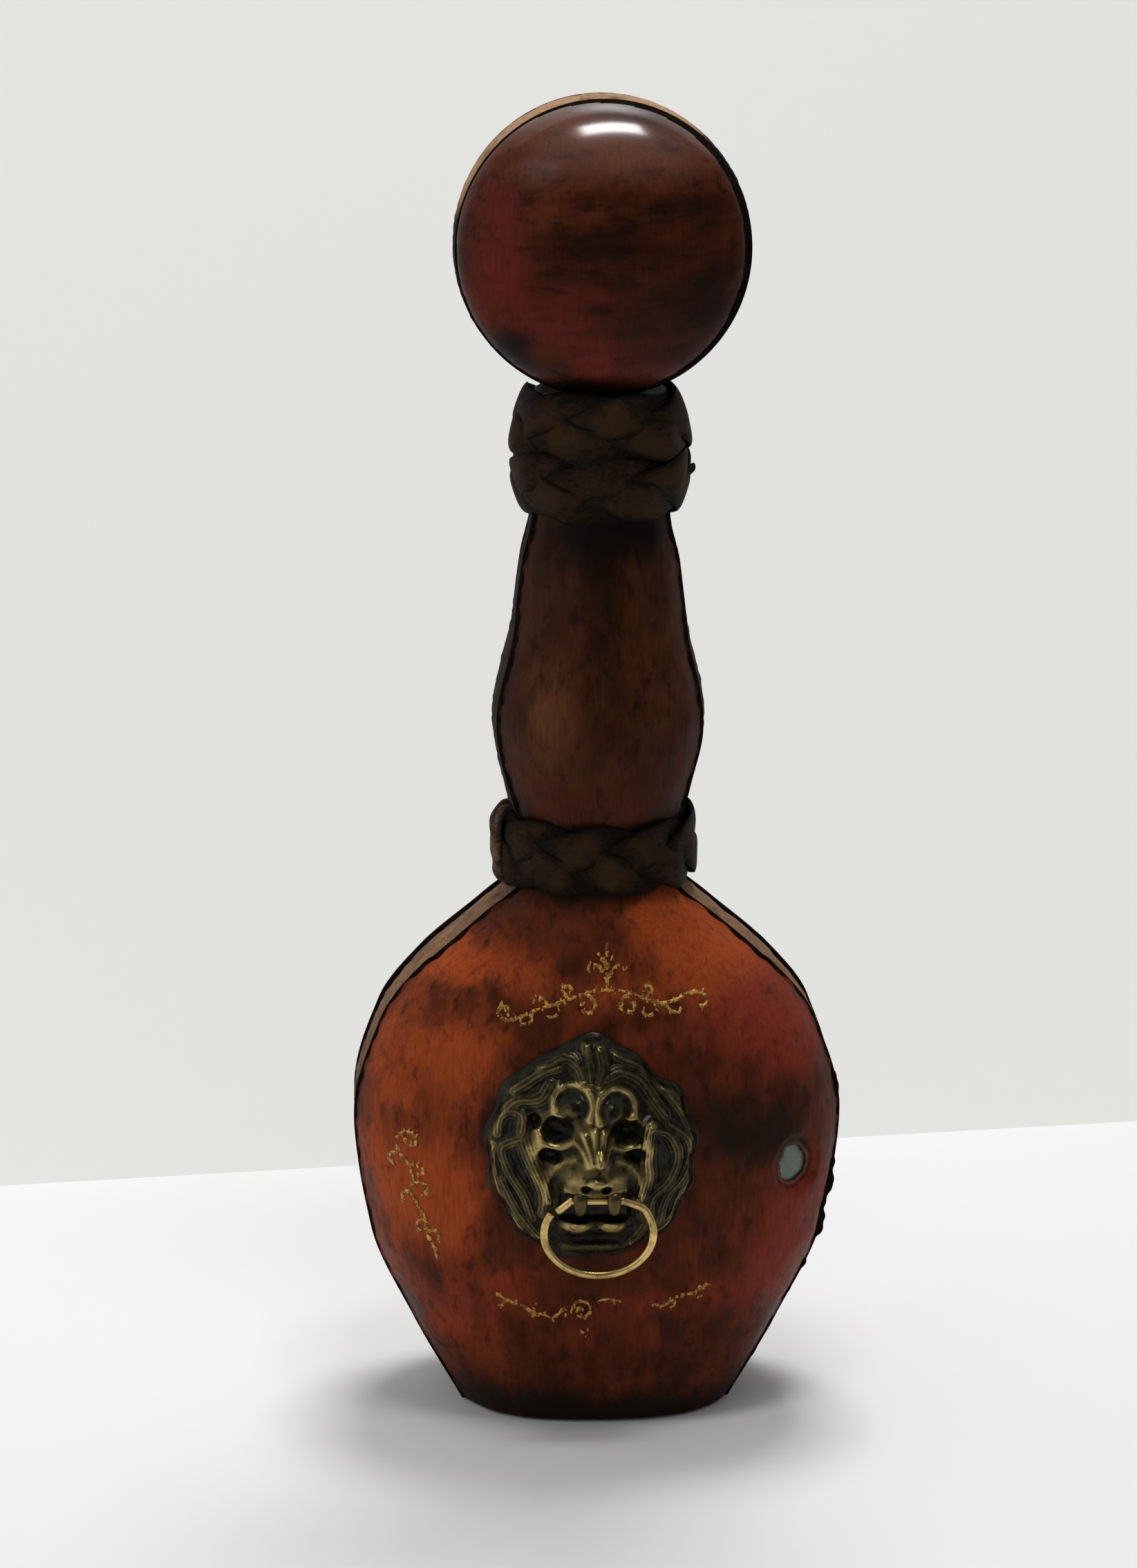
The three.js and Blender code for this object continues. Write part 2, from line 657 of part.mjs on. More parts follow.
function ringRoute() {
  const point = (x, z) => new THREE.Vector3(x, barY, z);
  const halfFang = FANG_WIDTH / 2;
  const left = MASK_X + FANG_OFFSETS[0] - halfFang;
  const right = MASK_X + FANG_OFFSETS.at(-1) + halfFang;
  const bar = [left - BAR_OVERHANG, left, (left + right) / 2, right, right + BAR_OVERHANG];
  const route = [point(bar[0] - STUB_LENGTH, barHeight - STUB_DROP), ...bar.map((x) => point(x, barHeight))];
  for (let i = 0; i <= BOW_POINTS; i += 1) {
    const angle = radians(BOW_START + ((BOW_END - BOW_START) * i) / BOW_POINTS);
    route.push(point(MASK_X + BOW_FROM_MASK + BOW_HALF_WIDTH * Math.cos(angle),
      barHeight - BOW_DROP + BOW_HALF_HEIGHT * Math.sin(angle)));
  }
  return new THREE.CatmullRomCurve3(route);
}

function pullRing() {
  const wire = new THREE.Shape();
  for (let i = 0; i < WIRE_SIDES; i += 1) {
    const angle = (2 * Math.PI * i) / WIRE_SIDES;
    const corner = [WIRE_RADIUS * Math.cos(angle), WIRE_RADIUS * Math.sin(angle)];
    if (i === 0) wire.moveTo(...corner);
    else wire.lineTo(...corner);
  }
  const ring = new THREE.ExtrudeGeometry(wire, { steps: RING_STEPS, extrudePath: ringRoute() });
  return facingOut(welded(ring));
}

// Finishes

const finish = (color, roughness, metalness) => () => (
  new THREE.MeshStandardMaterial({ color, roughness, metalness }));
const redLeather = finish(0x7a2a14, 0.45, 0);
const neckLeather = finish(0x5a2a14, 0.45, 0);
const stopperLeather = finish(0x64200f, 0.4, 0);
const rawLeather = finish(0x8a5a34, 0.75, 0);
const plaitLeather = finish(0x3a2114, 0.65, 0);
const darkLeather = finish(0x1c1310, 0.6, 0);
const paleGlass = finish(0x9db8a4, 0.1, 0);
const corkFinish = finish(0xb58a5c, 0.85, 0);
const beechFinish = finish(0xa9855a, 0.7, 0);
const darkBrass = finish(0x4c4226, 0.4, 0.9);
const brightBrass = finish(0xb08d3e, 0.3, 1);

// Assembly

const bottle = new THREE.Group();
const stopper = new THREE.Group();
const decanter = new THREE.Group();
decanter.add(bottle, stopper);

function place(group, name, geometry, material) {
  const mesh = new THREE.Mesh(geometry, material());
  mesh.name = name;
  group.add(mesh);
}

place(bottle, 'glass_bottle', glassBottle(), paleGlass);
place(bottle, 'base_pad', basePad(), darkLeather);
place(bottle, 'body_front_panel', frontPanel(bodyLevels), redLeather);
place(bottle, 'body_back_panel', backPanel(bodyLevels), redLeather);
place(bottle, 'body_left_strip', leftStrip(bodyLevels), rawLeather);
place(bottle, 'body_right_strip', rightStrip(bodyLevels), rawLeather);
place(bottle, 'neck_front_panel', frontPanel(neckLevels), neckLeather);
place(bottle, 'neck_back_panel', backPanel(neckLevels), neckLeather);
place(bottle, 'neck_left_strip', leftStrip(neckLevels), rawLeather);
place(bottle, 'neck_right_strip', rightStrip(neckLevels), rawLeather);
for (let number = 0; number < STRANDS; number += 1) {
  const name = `strand_${number + 1}`;
  place(bottle, `lower_plait_${name}`, strand(LOWER_PLAIT, lowerSeat, number, 0), plaitLeather);
  place(bottle, `upper_plait_bottom_${name}`,
    strand(UPPER_PLAIT, upperSeats.bottom, number, 0), plaitLeather);
  place(bottle, `upper_plait_top_${name}`,
    strand(UPPER_PLAIT, upperSeats.top, number, ROW_TURN), plaitLeather);
}
place(bottle, 'plait_keeper', keeper(), rawLeather);
place(bottle, 'lion_mask', lionMask(), darkBrass);
place(bottle, 'pull_ring', pullRing(), brightBrass);
place(stopper, 'stopper_core', stopperCore(), beechFinish);
place(stopper, 'stopper_cork', stopperCork(), corkFinish);
place(stopper, 'stopper_flange', stopperFlange(), darkLeather);
place(stopper, 'stopper_front_disc', stopperDisc(-1), stopperLeather);
place(stopper, 'stopper_back_disc', stopperDisc(1), stopperLeather);
place(stopper, 'stopper_rim_strip', stopperRimStrip(), rawLeather);

export default decanter;
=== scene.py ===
import math

import bmesh
import bpy
import numpy as np
from mathutils import Matrix, Vector


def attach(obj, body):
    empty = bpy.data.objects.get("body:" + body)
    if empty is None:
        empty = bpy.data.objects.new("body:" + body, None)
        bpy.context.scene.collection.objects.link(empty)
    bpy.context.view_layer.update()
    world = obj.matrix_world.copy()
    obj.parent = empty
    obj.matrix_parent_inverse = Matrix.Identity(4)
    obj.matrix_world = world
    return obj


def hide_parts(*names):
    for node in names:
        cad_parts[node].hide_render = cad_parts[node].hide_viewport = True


# Leather-covered decanter with a disc stopper, plaited collars and a brass lion mask with a pull ring.
# Lengths are in millimetres until a piece is made. +Z is up and the front faces -Y.

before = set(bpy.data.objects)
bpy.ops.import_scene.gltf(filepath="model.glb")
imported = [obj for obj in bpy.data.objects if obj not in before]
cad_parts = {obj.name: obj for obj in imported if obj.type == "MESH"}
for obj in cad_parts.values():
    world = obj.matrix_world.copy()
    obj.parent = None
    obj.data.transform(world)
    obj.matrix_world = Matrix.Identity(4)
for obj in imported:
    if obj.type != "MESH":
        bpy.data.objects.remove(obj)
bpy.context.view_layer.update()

MM = 0.001
GAP = 0.3

# The bottle's form over the leather: height, width and depth at each station, as in the frame

STATIONS = np.array([
    (0, 68, 56),
    (22, 91.8, 69),
    (47, 113.6, 77),
    (76, 121.2, 79),
    (98, 108.8, 73),
    (113, 86.8, 61),
    (125, 60, 49.5),
    (134, 42, 41),
    (141.5, 39, 39),
    (151, 44.8, 44.8),
    (173.5, 53.2, 53.2),
    (196, 44.4, 44.4),
    (212, 39.8, 39.8),
    (224, 35.2, 35.2),
    (249.5, 34.8, 34.8),
])
HEIGHTS, WIDTHS, DEPTHS = STATIONS.T
BELLY_HEIGHT, UPPER_BODY_HEIGHT, SHOULDER_HEIGHT = HEIGHTS[3], HEIGHTS[4], HEIGHTS[5]
THROAT_HEIGHT, WAIST_HEIGHT, MOUTH_HEIGHT = HEIGHTS[7], HEIGHTS[8], HEIGHTS[-1]
BODY_SQUARENESS = 2.45
ROUND = 2

PANEL_THICKNESS = 2.4
PANEL_LIFT = 0.8
STRIP_SINK = 0.7
BODY_STRIP_WIDTH = 21
NECK_STRIP_WIDTH = 19
PAD_THICKNESS = 2.2

# Black-dyed edge of a leather panel: a low bead with a rounded corner
BEAD_HEIGHT = 0.6
BEAD_FROM_EDGE = 1.2
BEAD_WIDTH = 1.0
CORNER_RADIUS = 0.9
BODY_DYE_WIDTH = 2.2
NECK_DYE_WIDTH = 2.4
DYE_FADES_OVER = 1.2

GLASS_WALL = 3.5
GLASS_FLOOR = 6
GLASS_HEEL = 2
BORE_RADIUS = 10
BORE_DEPTH = 28

STOPPER_RADIUS = 35.2
STOPPER_DEPTH = 50
STOPPER_RIM_WIDTH = 16
STOPPER_DOME_SQUARENESS = 2.2
STOPPER_LEATHER = 2.2
RIM_SINK = 0.5
RIM_SWELL = 0.8
FLANGE_RADIUS = 16
FLANGE_THICKNESS = 2.1
FLANGE_LIP = 1.5
FLANGE_LIP_WIDTH = 2.6
SPIGOT_RADIUS = 6
CORK_LENGTH = 24
CORK_TAPER = 0.8

MASK_X = -2.3
MASK_Z = BELLY_HEIGHT - 1
MASK_HALF_WIDTH = 25.5
MASK_HALF_HEIGHT = 28
MASK_RIM = 1.8
MASK_CROWN = 6.2
MASK_LOCKS = 13
MASK_LOCK_RELIEF = 1.1
BAR_Z = MASK_Z - 10.2
BAR_STAND_OFF = 10


# Numbers and curves

def smoothstep(value, low, high):
    t = np.clip((value - low) / (high - low), 0, 1)
    return t * t * (3 - 2 * t)


def hill(away, width):
    """Height of a smooth hill of 1 that falls off over a width."""
    return np.exp(-(away / width) ** 2)


def signed_power(value, power):
    return np.sign(value) * np.abs(value) ** power


def full_turn(count):
    return np.linspace(0, 2 * math.pi, count, endpoint=False)


def unit(vectors):
    return vectors / np.linalg.norm(vectors, axis=-1, keepdims=True)


def right_of(path):
    """Direction to the right of a flat path at each of its points."""
    tangent = np.gradient(path, axis=0)
    return unit(np.stack([tangent[:, 1], -tangent[:, 0]], -1))


def lengths_along(points):
    """Distance along a line from its first point to each of its points."""
    return np.concatenate([[0], np.cumsum(np.linalg.norm(np.diff(points, axis=0), axis=1))])


def corner_drop(from_edge, radius):
    """How far a surface falls off as it nears an edge that is rounded by a radius."""
    corner = np.clip(radius - from_edge, 0, radius)
    return radius - np.sqrt(radius**2 - corner**2)


def ripple(seed, scale, *axes):
    """Smooth seeded unevenness between about -1 and 1, from crossed waves of about the given length."""
    rng = np.random.default_rng(seed)
    waves = 7
    total = 0
    for _ in range(waves):
        direction = rng.normal(size=len(axes)) * 2 * math.pi / scale
        phase = rng.uniform(0, 2 * math.pi)
        total = total + np.sin(sum(d * a for d, a in zip(direction, axes)) + phase)
    return total / math.sqrt(2 * waves)


def smooth_path(points, per_span):
    """Points along a smooth curve through the given ones."""
    points = np.asarray(points, float)
    padded = np.vstack([2 * points[0] - points[1], points, 2 * points[-1] - points[-2]])
    t = np.linspace(0, 1, per_span, endpoint=False)[:, None]
    spans = []
    for a, b, c, d in zip(padded, padded[1:], padded[2:], padded[3:]):
        spans.append(0.5 * (2 * b + (c - a) * t + (2 * a - 5 * b + 4 * c - d) * t**2
                            + (3 * b - a - 3 * c + d) * t**3))
    return np.vstack(spans + [points[-1:]])


def through(values, z):
    """Smooth curve through the stations that never swings past them."""
    rises = np.diff(values) / np.diff(HEIGHTS)
    before, after = rises[:-1], rises[1:]
    both = before * after > 0
    inner = np.zeros_like(before)
    inner[both] = 2 * before[both] * after[both] / (before[both] + after[both])
    slopes = np.concatenate([rises[:1], inner, rises[-1:]])
    z = np.clip(z, HEIGHTS[0], HEIGHTS[-1])
    i = np.clip(np.searchsorted(HEIGHTS, z) - 1, 0, len(HEIGHTS) - 2)
    span = HEIGHTS[i + 1] - HEIGHTS[i]
    t = (z - HEIGHTS[i]) / span
    blend = t * t * (3 - 2 * t)
    low_pull = t * (1 - t) ** 2 * span * slopes[i]
    high_pull = t * t * (1 - t) * span * slopes[i + 1]
    return values[i] + (values[i + 1] - values[i]) * blend + low_pull - high_pull


def half_width(z):
    return through(WIDTHS, z) / 2


def half_depth(z):
    return through(DEPTHS, z) / 2


def leather_radius(z):
    return np.maximum(half_width(z), half_depth(z))


def squareness(z):
    return ROUND + (BODY_SQUARENESS - ROUND) * (1 - smoothstep(z, UPPER_BODY_HEIGHT, THROAT_HEIGHT))


def on_form(z, angle):
    power = 2 / squareness(z)
    x = half_width(z) * signed_power(np.cos(angle), power)
    y = half_depth(z) * signed_power(np.sin(angle), power)
    return np.stack(np.broadcast_arrays(x, y, z), -1)


# Steps up and round over which the form's slope is taken
PROBE_HEIGHT = 0.4
PROBE_ANGLE = 0.02


def outward_at(z, angle):
    above = on_form(np.minimum(z + PROBE_HEIGHT, MOUTH_HEIGHT), angle)
    below = on_form(np.maximum(z - PROBE_HEIGHT, 0), angle)
    around = on_form(z, angle + PROBE_ANGLE) - on_form(z, angle - PROBE_ANGLE)
    return unit(np.cross(around, above - below))


def layer(z, angle, lift):
    z, angle, lift = np.broadcast_arrays(z, angle, lift)
    return on_form(z, angle) + outward_at(z, angle) * lift[..., None]


def front_depth(x, z):
    power = squareness(z)
    across = np.minimum(np.abs(x) / half_width(z), 1) ** power
    return half_depth(z) * (1 - across) ** (1 / power)


def on_front(x, z, lift):
    """Points before the front of the leather, at a distance from it along Y."""
    x, z, lift = np.broadcast_arrays(x, z, lift)
    return np.stack([x, -front_depth(x, z) - lift, z], -1)


def strip_half_width(z):
    share = smoothstep(z, SHOULDER_HEIGHT, THROAT_HEIGHT)
    return (BODY_STRIP_WIDTH + (NECK_STRIP_WIDTH - BODY_STRIP_WIDTH) * share) / 2


def angle_at(z, distance):
    return np.arcsin((distance / half_depth(z)) ** (squareness(z) / 2))


# Meshes

def quads(rows, columns, wrap_rows=False, wrap_columns=False):
    index = np.arange(rows * columns).reshape(rows, columns)
    if wrap_rows:
        index = np.vstack([index, index[:1]])
    if wrap_columns:
        index = np.hstack([index, index[:, :1]])
    corners = [index[:-1, :-1], index[:-1, 1:], index[1:, 1:], index[1:, :-1]]
    return np.stack(corners, -1).reshape(-1, 4)


def torus_faces(rows, columns):
    """Faces of a skin that closes on itself both ways."""
    return quads(rows, columns, wrap_rows=True, wrap_columns=True)


def capped_tube(rows, columns, start=0):
    """Faces of a tube of rings with two flat ends, where start is the number of its first point."""
    last = start + (rows - 1) * columns
    ends = [list(range(start, start + columns))[::-1], list(range(last, last + columns))]
    return (quads(rows, columns, wrap_columns=True) + start).tolist() + ends


# Share of edge dye from which a face takes the edging, and how near two points are one, in metres
EDGING_FROM = 0.55
ONE_POINT = 1e-6


def add_piece(name, points, faces, material, body, slot, replaces=(), fields=None, edging=None):
    """Makes one closed piece from points in millimetres and sets it on its body.

    Where the edge field is high, faces take the edging material if one is given.
    """
    mesh = bpy.data.meshes.new(name)
    mesh.from_pydata((np.asarray(points).reshape(-1, 3) * MM).tolist(), [], [list(f) for f in faces])
    mesh.materials.append(material)
    if edging is not None:
        mesh.materials.append(edging)
        dyed = np.ravel(fields["edge"])[np.asarray(faces)].mean(axis=1) > EDGING_FROM
        mesh.polygons.foreach_set("material_index", dyed.astype(np.int32))
    for field, values in (fields or {}).items():
        attribute = mesh.attributes.new(field, "FLOAT", "POINT")
        attribute.data.foreach_set("value", np.asarray(values, np.float32).ravel())
    work = bmesh.new()
    work.from_mesh(mesh)
    bmesh.ops.delete(work, geom=[v for v in work.verts if not v.link_faces], context="VERTS")
    bmesh.ops.remove_doubles(work, verts=work.verts, dist=ONE_POINT)
    bmesh.ops.recalc_face_normals(work, faces=work.faces)
    work.to_mesh(mesh)
    work.free()
    mesh.shade_smooth()
    made = bpy.data.objects.new(name, mesh)
    bpy.context.scene.collection.objects.link(made)
    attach(made, body)
    if replaces:
        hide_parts(*replaces)
    return made


def sheet_faces(rows, columns, hole=None):
    """Faces of a closed sheet whose points are an outer grid followed by an inner grid."""
    outer = quads(rows, columns)
    if hole is not None:
        outer = outer[~hole.ravel()]
    count = rows * columns
    edges = np.vstack([outer[:, [0, 1]], outer[:, [1, 2]], outer[:, [2, 3]], outer[:, [3, 0]]])
    keys = edges[:, 0] * count + edges[:, 1]
    rim = edges[~np.isin(keys, edges[:, 1] * count + edges[:, 0])]
    walls = np.stack([rim[:, 1], rim[:, 0], rim[:, 0] + count, rim[:, 1] + count], -1)
    return np.vstack([outer, outer[:, ::-1] + count, walls])


def joined_sheets(sheets):
    """Points and faces of one mesh of several closed sheets, each given as an outer and an inner grid."""
    points, faces = [], []
    start = 0
    for outer, inner in sheets:
        faces.append(sheet_faces(*outer.shape[:2]) + start)
        points.append(np.concatenate([outer.reshape(-1, 3), inner.reshape(-1, 3)]))
        start += len(points[-1])
    return np.concatenate(points), np.concatenate(faces)


def on_both_grids(fields):
    """Fields of a sheet's outer grid, repeated for its inner grid."""
    return {field: np.concatenate([values, values]) for field, values in fields.items()}


def lathe_points(profile, segments, axis="Z"):
    """Turns a profile of (radius, height) about the Z axis, or about the Y axis with heights along Y."""
    profile = np.asarray(profile, float)
    turn = full_turn(segments)[:, None]
    r, h = profile[None, :, 0], profile[None, :, 1]
    h = np.broadcast_to(h, (segments, len(profile)))
    if axis == "Z":
        return np.stack([r * np.cos(turn), r * np.sin(turn), h], -1)
    return np.stack([r * np.cos(turn), h, r * np.sin(turn)], -1)


# Materials

class Look:
    """One material and the few node forms that the finishes are made of."""

    def __init__(self, name):
        self.material = bpy.data.materials.new(name)
        self.material.use_nodes = True
        self.tree = self.material.node_tree
        self.shader = self.tree.nodes["Principled BSDF"]

    def give(self, node, inputs):
        for key, value in inputs.items():
            if isinstance(value, bpy.types.NodeSocket):
                self.tree.links.new(value, node.inputs[key])
            else:
                node.inputs[key].default_value = value

    def finish(self, **inputs):
        self.give(self.shader, {key.replace("_", " "): value for key, value in inputs.items()})
        return self.material

    def field(self, name):
        node = self.tree.nodes.new("ShaderNodeAttribute")
        node.attribute_name = name
        return node.outputs["Fac"]

    def place(self, stretch=(1, 1, 1)):
        """Place on the object in millimetres, stretched along each axis."""
        where = self.tree.nodes.new("ShaderNodeTexCoord").outputs["Object"]
        node = self.tree.nodes.new("ShaderNodeMapping")
        node.inputs["Scale"].default_value = [s / MM for s in stretch]
        self.tree.links.new(where, node.inputs["Vector"])
        return node.outputs["Vector"]

    def noise(self, place, size, detail=5.0, roughness=0.6, distortion=0.0):
        node = self.tree.nodes.new("ShaderNodeTexNoise")
        self.give(node, {"Vector": place, "Scale": 1 / size, "Detail": detail, "Roughness": roughness,
                         "Distortion": distortion})
        return node.outputs["Fac"]

    def cells(self, place, size):
        node = self.tree.nodes.new("ShaderNodeTexVoronoi")
        node.feature = "DISTANCE_TO_EDGE"
        self.give(node, {"Vector": place, "Scale": 1 / size})
        return node.outputs["Distance"]

    def maths(self, operation, a, b=0.0):
        node = self.tree.nodes.new("ShaderNodeMath")
        node.operation = operation
        self.give(node, {0: a, 1: b})
        return node.outputs[0]

    def total(self, *terms):
        """Sum of (socket, weight) terms, where a term may also be a plain number."""
        result = 0.0
        for term in terms:
            if isinstance(term, tuple):
                term = self.maths("MULTIPLY", *term)
            result = self.maths("ADD", term, result)
        return result

    def remap(self, value, low, high, to_low=0.0, to_high=1.0):
        node = self.tree.nodes.new("ShaderNodeMapRange")
        node.interpolation_type = "SMOOTHSTEP"
        self.give(node, {"Value": value, "From Min": low, "From Max": high, "To Min": to_low,
                         "To Max": to_high})
        return node.outputs["Result"]

    def mix(self, share, a, b):
        node = self.tree.nodes.new("ShaderNodeMix")
        node.data_type = "RGBA"
        sockets = {s.identifier: s for s in node.inputs}
        for key, value in (("Factor_Float", share), ("A_Color", a), ("B_Color", b)):
            if isinstance(value, bpy.types.NodeSocket):
                self.tree.links.new(value, sockets[key])
            else:
                sockets[key].default_value = (*value, 1) if key != "Factor_Float" else value
        return next(s for s in node.outputs if s.identifier == "Result_Color")

    def bump(self, height, depth, strength, under=None):
        node = self.tree.nodes.new("ShaderNodeBump")
        self.give(node, {"Height": height, "Distance": depth * MM, "Strength": strength})
        if under is not None:
            self.tree.links.new(under, node.inputs["Normal"])
        return node.outputs["Normal"]

    def join(self, share, first, second):
        """Two shaders mixed by a share."""
        node = self.tree.nodes.new("ShaderNodeMixShader")
        self.give(node, {0: share, 1: first.outputs[0], 2: second.outputs[0]})
        return node


BLACK_DYE = (0.005, 0.004, 0.003)
SCUFFED_DYE = (0.012, 0.009, 0.007)
TORN_HIDE = (0.16, 0.085, 0.05)
BLACK_HIDE = (0.010, 0.010, 0.008)
SCUFFED_HIDE = (0.035, 0.030, 0.022)
DEEP_PATINA = (0.005, 0.005, 0.003)
PATINA = (0.018, 0.017, 0.009)
OLIVE_BRASS = (0.085, 0.066, 0.024)
RUBBED_BRASS = (0.38, 0.285, 0.105)
BRIGHT_BRASS = (0.70, 0.50, 0.18)
TARNISHED_BRASS = (0.26, 0.155, 0.05)
GOLD_PAINT = (0.60, 0.32, 0.055)
THIN_GOLD_PAINT = (0.14, 0.046, 0.011)
BOTTLE_GLASS = (0.085, 0.125, 0.09)
DUSTY_GLASS = (0.15, 0.19, 0.15)

SCUFF_STRETCH = (0.8, 0.8, 0.55)
FIBRE_STRETCH = (1, 1, 0.09)
RAW_FIBRE_STRETCH = (1, 1, 0.35)
STRAP_FIBRE_STRETCH = (1, 1, 2.2)
SCRATCH_STRETCH = (3, 3, 1)
WAX_ROUGHNESS = 0.16
WAX_IOR = 1.8


def dyed_leather(name, tones, stretch, gloss, specular, waxed=False):
    """Hand-dyed hide: clouds of dye along the brush, fine fibres, black edges and a wax gloss; the light and
    dark fields also carry painted light and shade.
    """
    look = Look(name)
    along = look.place(stretch)
    plain = look.place()
    clouds = look.remap(look.noise(along, 8.0, 5.0, 0.55, 0.3), 0.28, 0.72)
    blots = look.remap(look.noise(plain, 17.0, 5.0, 0.55, 0.5), 0.3, 0.7)
    fibres = look.remap(look.noise(look.place(FIBRE_STRETCH), 0.7, 4.0, 0.6), 0.3, 0.7)
    specks = look.remap(look.noise(along, 2.6, 7.0, 0.62, 0.2), 0.5, 0.7)
    mottle = look.total((clouds, 0.5), (blots, 0.35), (specks, -0.25), -0.35)
    colour = look.mix(look.remap(mottle, -0.5, 0.45), tones["deep"], tones["base"])
    # The light and dark fields carry painted light and shade from the patch tables as well as dye.
    light = look.remap(look.total(look.field("light"), (mottle, 0.5)), 0.05, 0.85)
    colour = look.mix(light, colour, tones["light"])
    warm = look.remap(look.total(look.field("warm"), (mottle, 0.35)), 0.1, 0.85)
    colour = look.mix(warm, colour, tones["warm"])
    colour = look.mix(look.maths("MULTIPLY", specks, 0.32), colour, tones["dark"])
    scuffs = look.remap(look.noise(look.place(SCUFF_STRETCH), 2.2, 6.0, 0.7, 0.6), 0.56, 0.72)
    colour = look.mix(look.maths("MULTIPLY", scuffs, 0.45), colour, tones["dark"])
    dark = look.remap(look.total(look.field("dark"), (mottle, -0.4)), 0.1, 0.95)
    colour = look.mix(dark, colour, tones["dark"])
    colour = look.mix(look.maths("MULTIPLY", fibres, 0.28), colour, tones["dark"])
    colour = look.mix(look.field("torn"), colour, TORN_HIDE)
    edge = look.remap(look.total(look.field("edge"), (mottle, 0.2)), 0.3, 0.7)
    colour = look.mix(edge, colour, BLACK_DYE)
    rough = look.remap(look.total((clouds, 0.4), (blots, 0.3), (fibres, 0.3)), 0.15, 0.85, gloss[0], gloss[1])
    grain = look.cells(plain, 0.9)
    normal = look.bump(look.noise(plain, 3.2, 3.0, 0.5), 0.22, 0.4)
    normal = look.bump(fibres, 0.06, 0.3, normal)
    normal = look.bump(grain, 0.07, 0.3, normal)
    normal = look.bump(look.noise(plain, 0.5, 3.0), 0.06, 0.35, normal)
    coat = {}
    if waxed:
        coat = {"Coat_Weight": look.field("waxed"), "Coat_Roughness": WAX_ROUGHNESS, "Coat_IOR": WAX_IOR}
    return look.finish(Base_Color=colour, Roughness=rough, Normal=normal, Specular_IOR_Level=specular, **coat)


def raw_leather(name, pale, dull, dark):
    """Undyed flesh side of the hide: fibrous, matt and stained towards its edges."""
    look = Look(name)
    plain = look.place()
    fibres = look.noise(look.place(RAW_FIBRE_STRETCH), 1.1, 8.0, 0.75)
    stains = look.noise(plain, 9.0, 5.0, 0.6, 0.5)
    colour = look.mix(look.remap(fibres, 0.3, 0.7), dull, pale)
    stained = look.remap(look.total((stains, 1.0), (look.field("dark"), 0.6)), 0.5, 0.8)
    colour = look.mix(stained, colour, dark)
    edge = look.remap(look.total(look.field("edge"), (fibres, 0.5), -0.25), 0.25, 0.75)
    colour = look.mix(edge, colour, BLACK_DYE)
    normal = look.bump(fibres, 0.35, 0.6)
    return look.finish(Base_Color=colour, Roughness=0.85, Normal=normal, Specular_IOR_Level=0.12)


def strap_leather(name, base, lit, dark):
    """Narrow dark strips, rubbed lighter along the crown, with black dye along their edges and painted shade
    where one strip dips under another.
    """
    look = Look(name)
    plain = look.place()
    fibres = look.remap(look.noise(look.place(STRAP_FIBRE_STRETCH), 1.6, 7.0, 0.7), 0.32, 0.68)
    blots = look.remap(look.noise(plain, 8.0, 5.0, 0.6, 0.4), 0.34, 0.66)
    rubbed = look.remap(look.total(look.field("crown"), (blots, 0.5), (fibres, 0.25), -0.4), 0.05, 0.95)
    colour = look.mix(fibres, dark, base)
    colour = look.mix(rubbed, colour, lit)
    edge = look.remap(look.total(look.field("edge"), (blots, 0.3), -0.15), 0.2, 0.8)
    colour = look.mix(edge, colour, BLACK_DYE)
    normal = look.bump(fibres, 0.12, 0.5)
    normal = look.bump(look.cells(plain, 0.8), 0.08, 0.4, normal)
    return look.finish(Base_Color=colour, Roughness=0.62, Normal=normal, Specular_IOR_Level=0.035)


def cast_brass():
    """Cast brass with a black-green patina in the hollows, olive slopes and rubbed gold on the ridges."""
    look = Look("dark_brass")
    plain = look.place()
    grime = look.remap(look.noise(plain, 2.6, 6.0, 0.6, 0.4), 0.33, 0.67)
    fine = look.noise(plain, 0.7, 4.0, 0.6)
    shine = look.total(look.field("polish"), (grime, 0.24), -0.12)
    patina = look.mix(grime, DEEP_PATINA, PATINA)
    colour = look.mix(look.remap(shine, 0.02, 0.5), patina, OLIVE_BRASS)
    colour = look.mix(look.remap(shine, 0.45, 1.05), colour, RUBBED_BRASS)
    rough = look.remap(look.total((grime, 0.5), (fine, 0.5)), 0.3, 0.7, 0.16, 0.34)
    metal = look.remap(shine, 0.0, 0.5, 0.3, 1.0)
    normal = look.bump(fine, 0.08, 0.4)
    return look.finish(Base_Color=colour, Roughness=rough, Metallic=metal, Normal=normal,
                       Specular_IOR_Level=0.15)


def bright_brass():
    look = Look("bright_brass")
    tarnish = look.noise(look.place(), 3.0, 6.0, 0.6)
    scratches = look.noise(look.place(SCRATCH_STRETCH), 0.5, 5.0, 0.6)
    colour = look.mix(look.remap(tarnish, 0.4, 0.75), BRIGHT_BRASS, TARNISHED_BRASS)
    rough = look.remap(tarnish, 0.3, 0.7, 0.12, 0.28)
    normal = look.bump(scratches, 0.05, 0.4)
    return look.finish(Base_Color=colour, Roughness=rough, Metallic=1.0, Normal=normal)


def gilding():
    """Gold paint rubbed thin, so that the hide shows through it in grains."""
    look = Look("gilding")
    plain = look.place()
    wear = look.noise(plain, 0.9, 6.0, 0.7)
    colour = look.mix(look.remap(wear, 0.4, 0.58), GOLD_PAINT, THIN_GOLD_PAINT)
    rough = look.remap(wear, 0.3, 0.7, 0.4, 0.6)
    metal = look.remap(wear, 0.4, 0.6, 0.5, 0.0)
    return look.finish(Base_Color=colour, Roughness=rough, Metallic=metal, Normal=look.bump(wear, 0.06, 0.5),
                       Specular_IOR_Level=0.2)


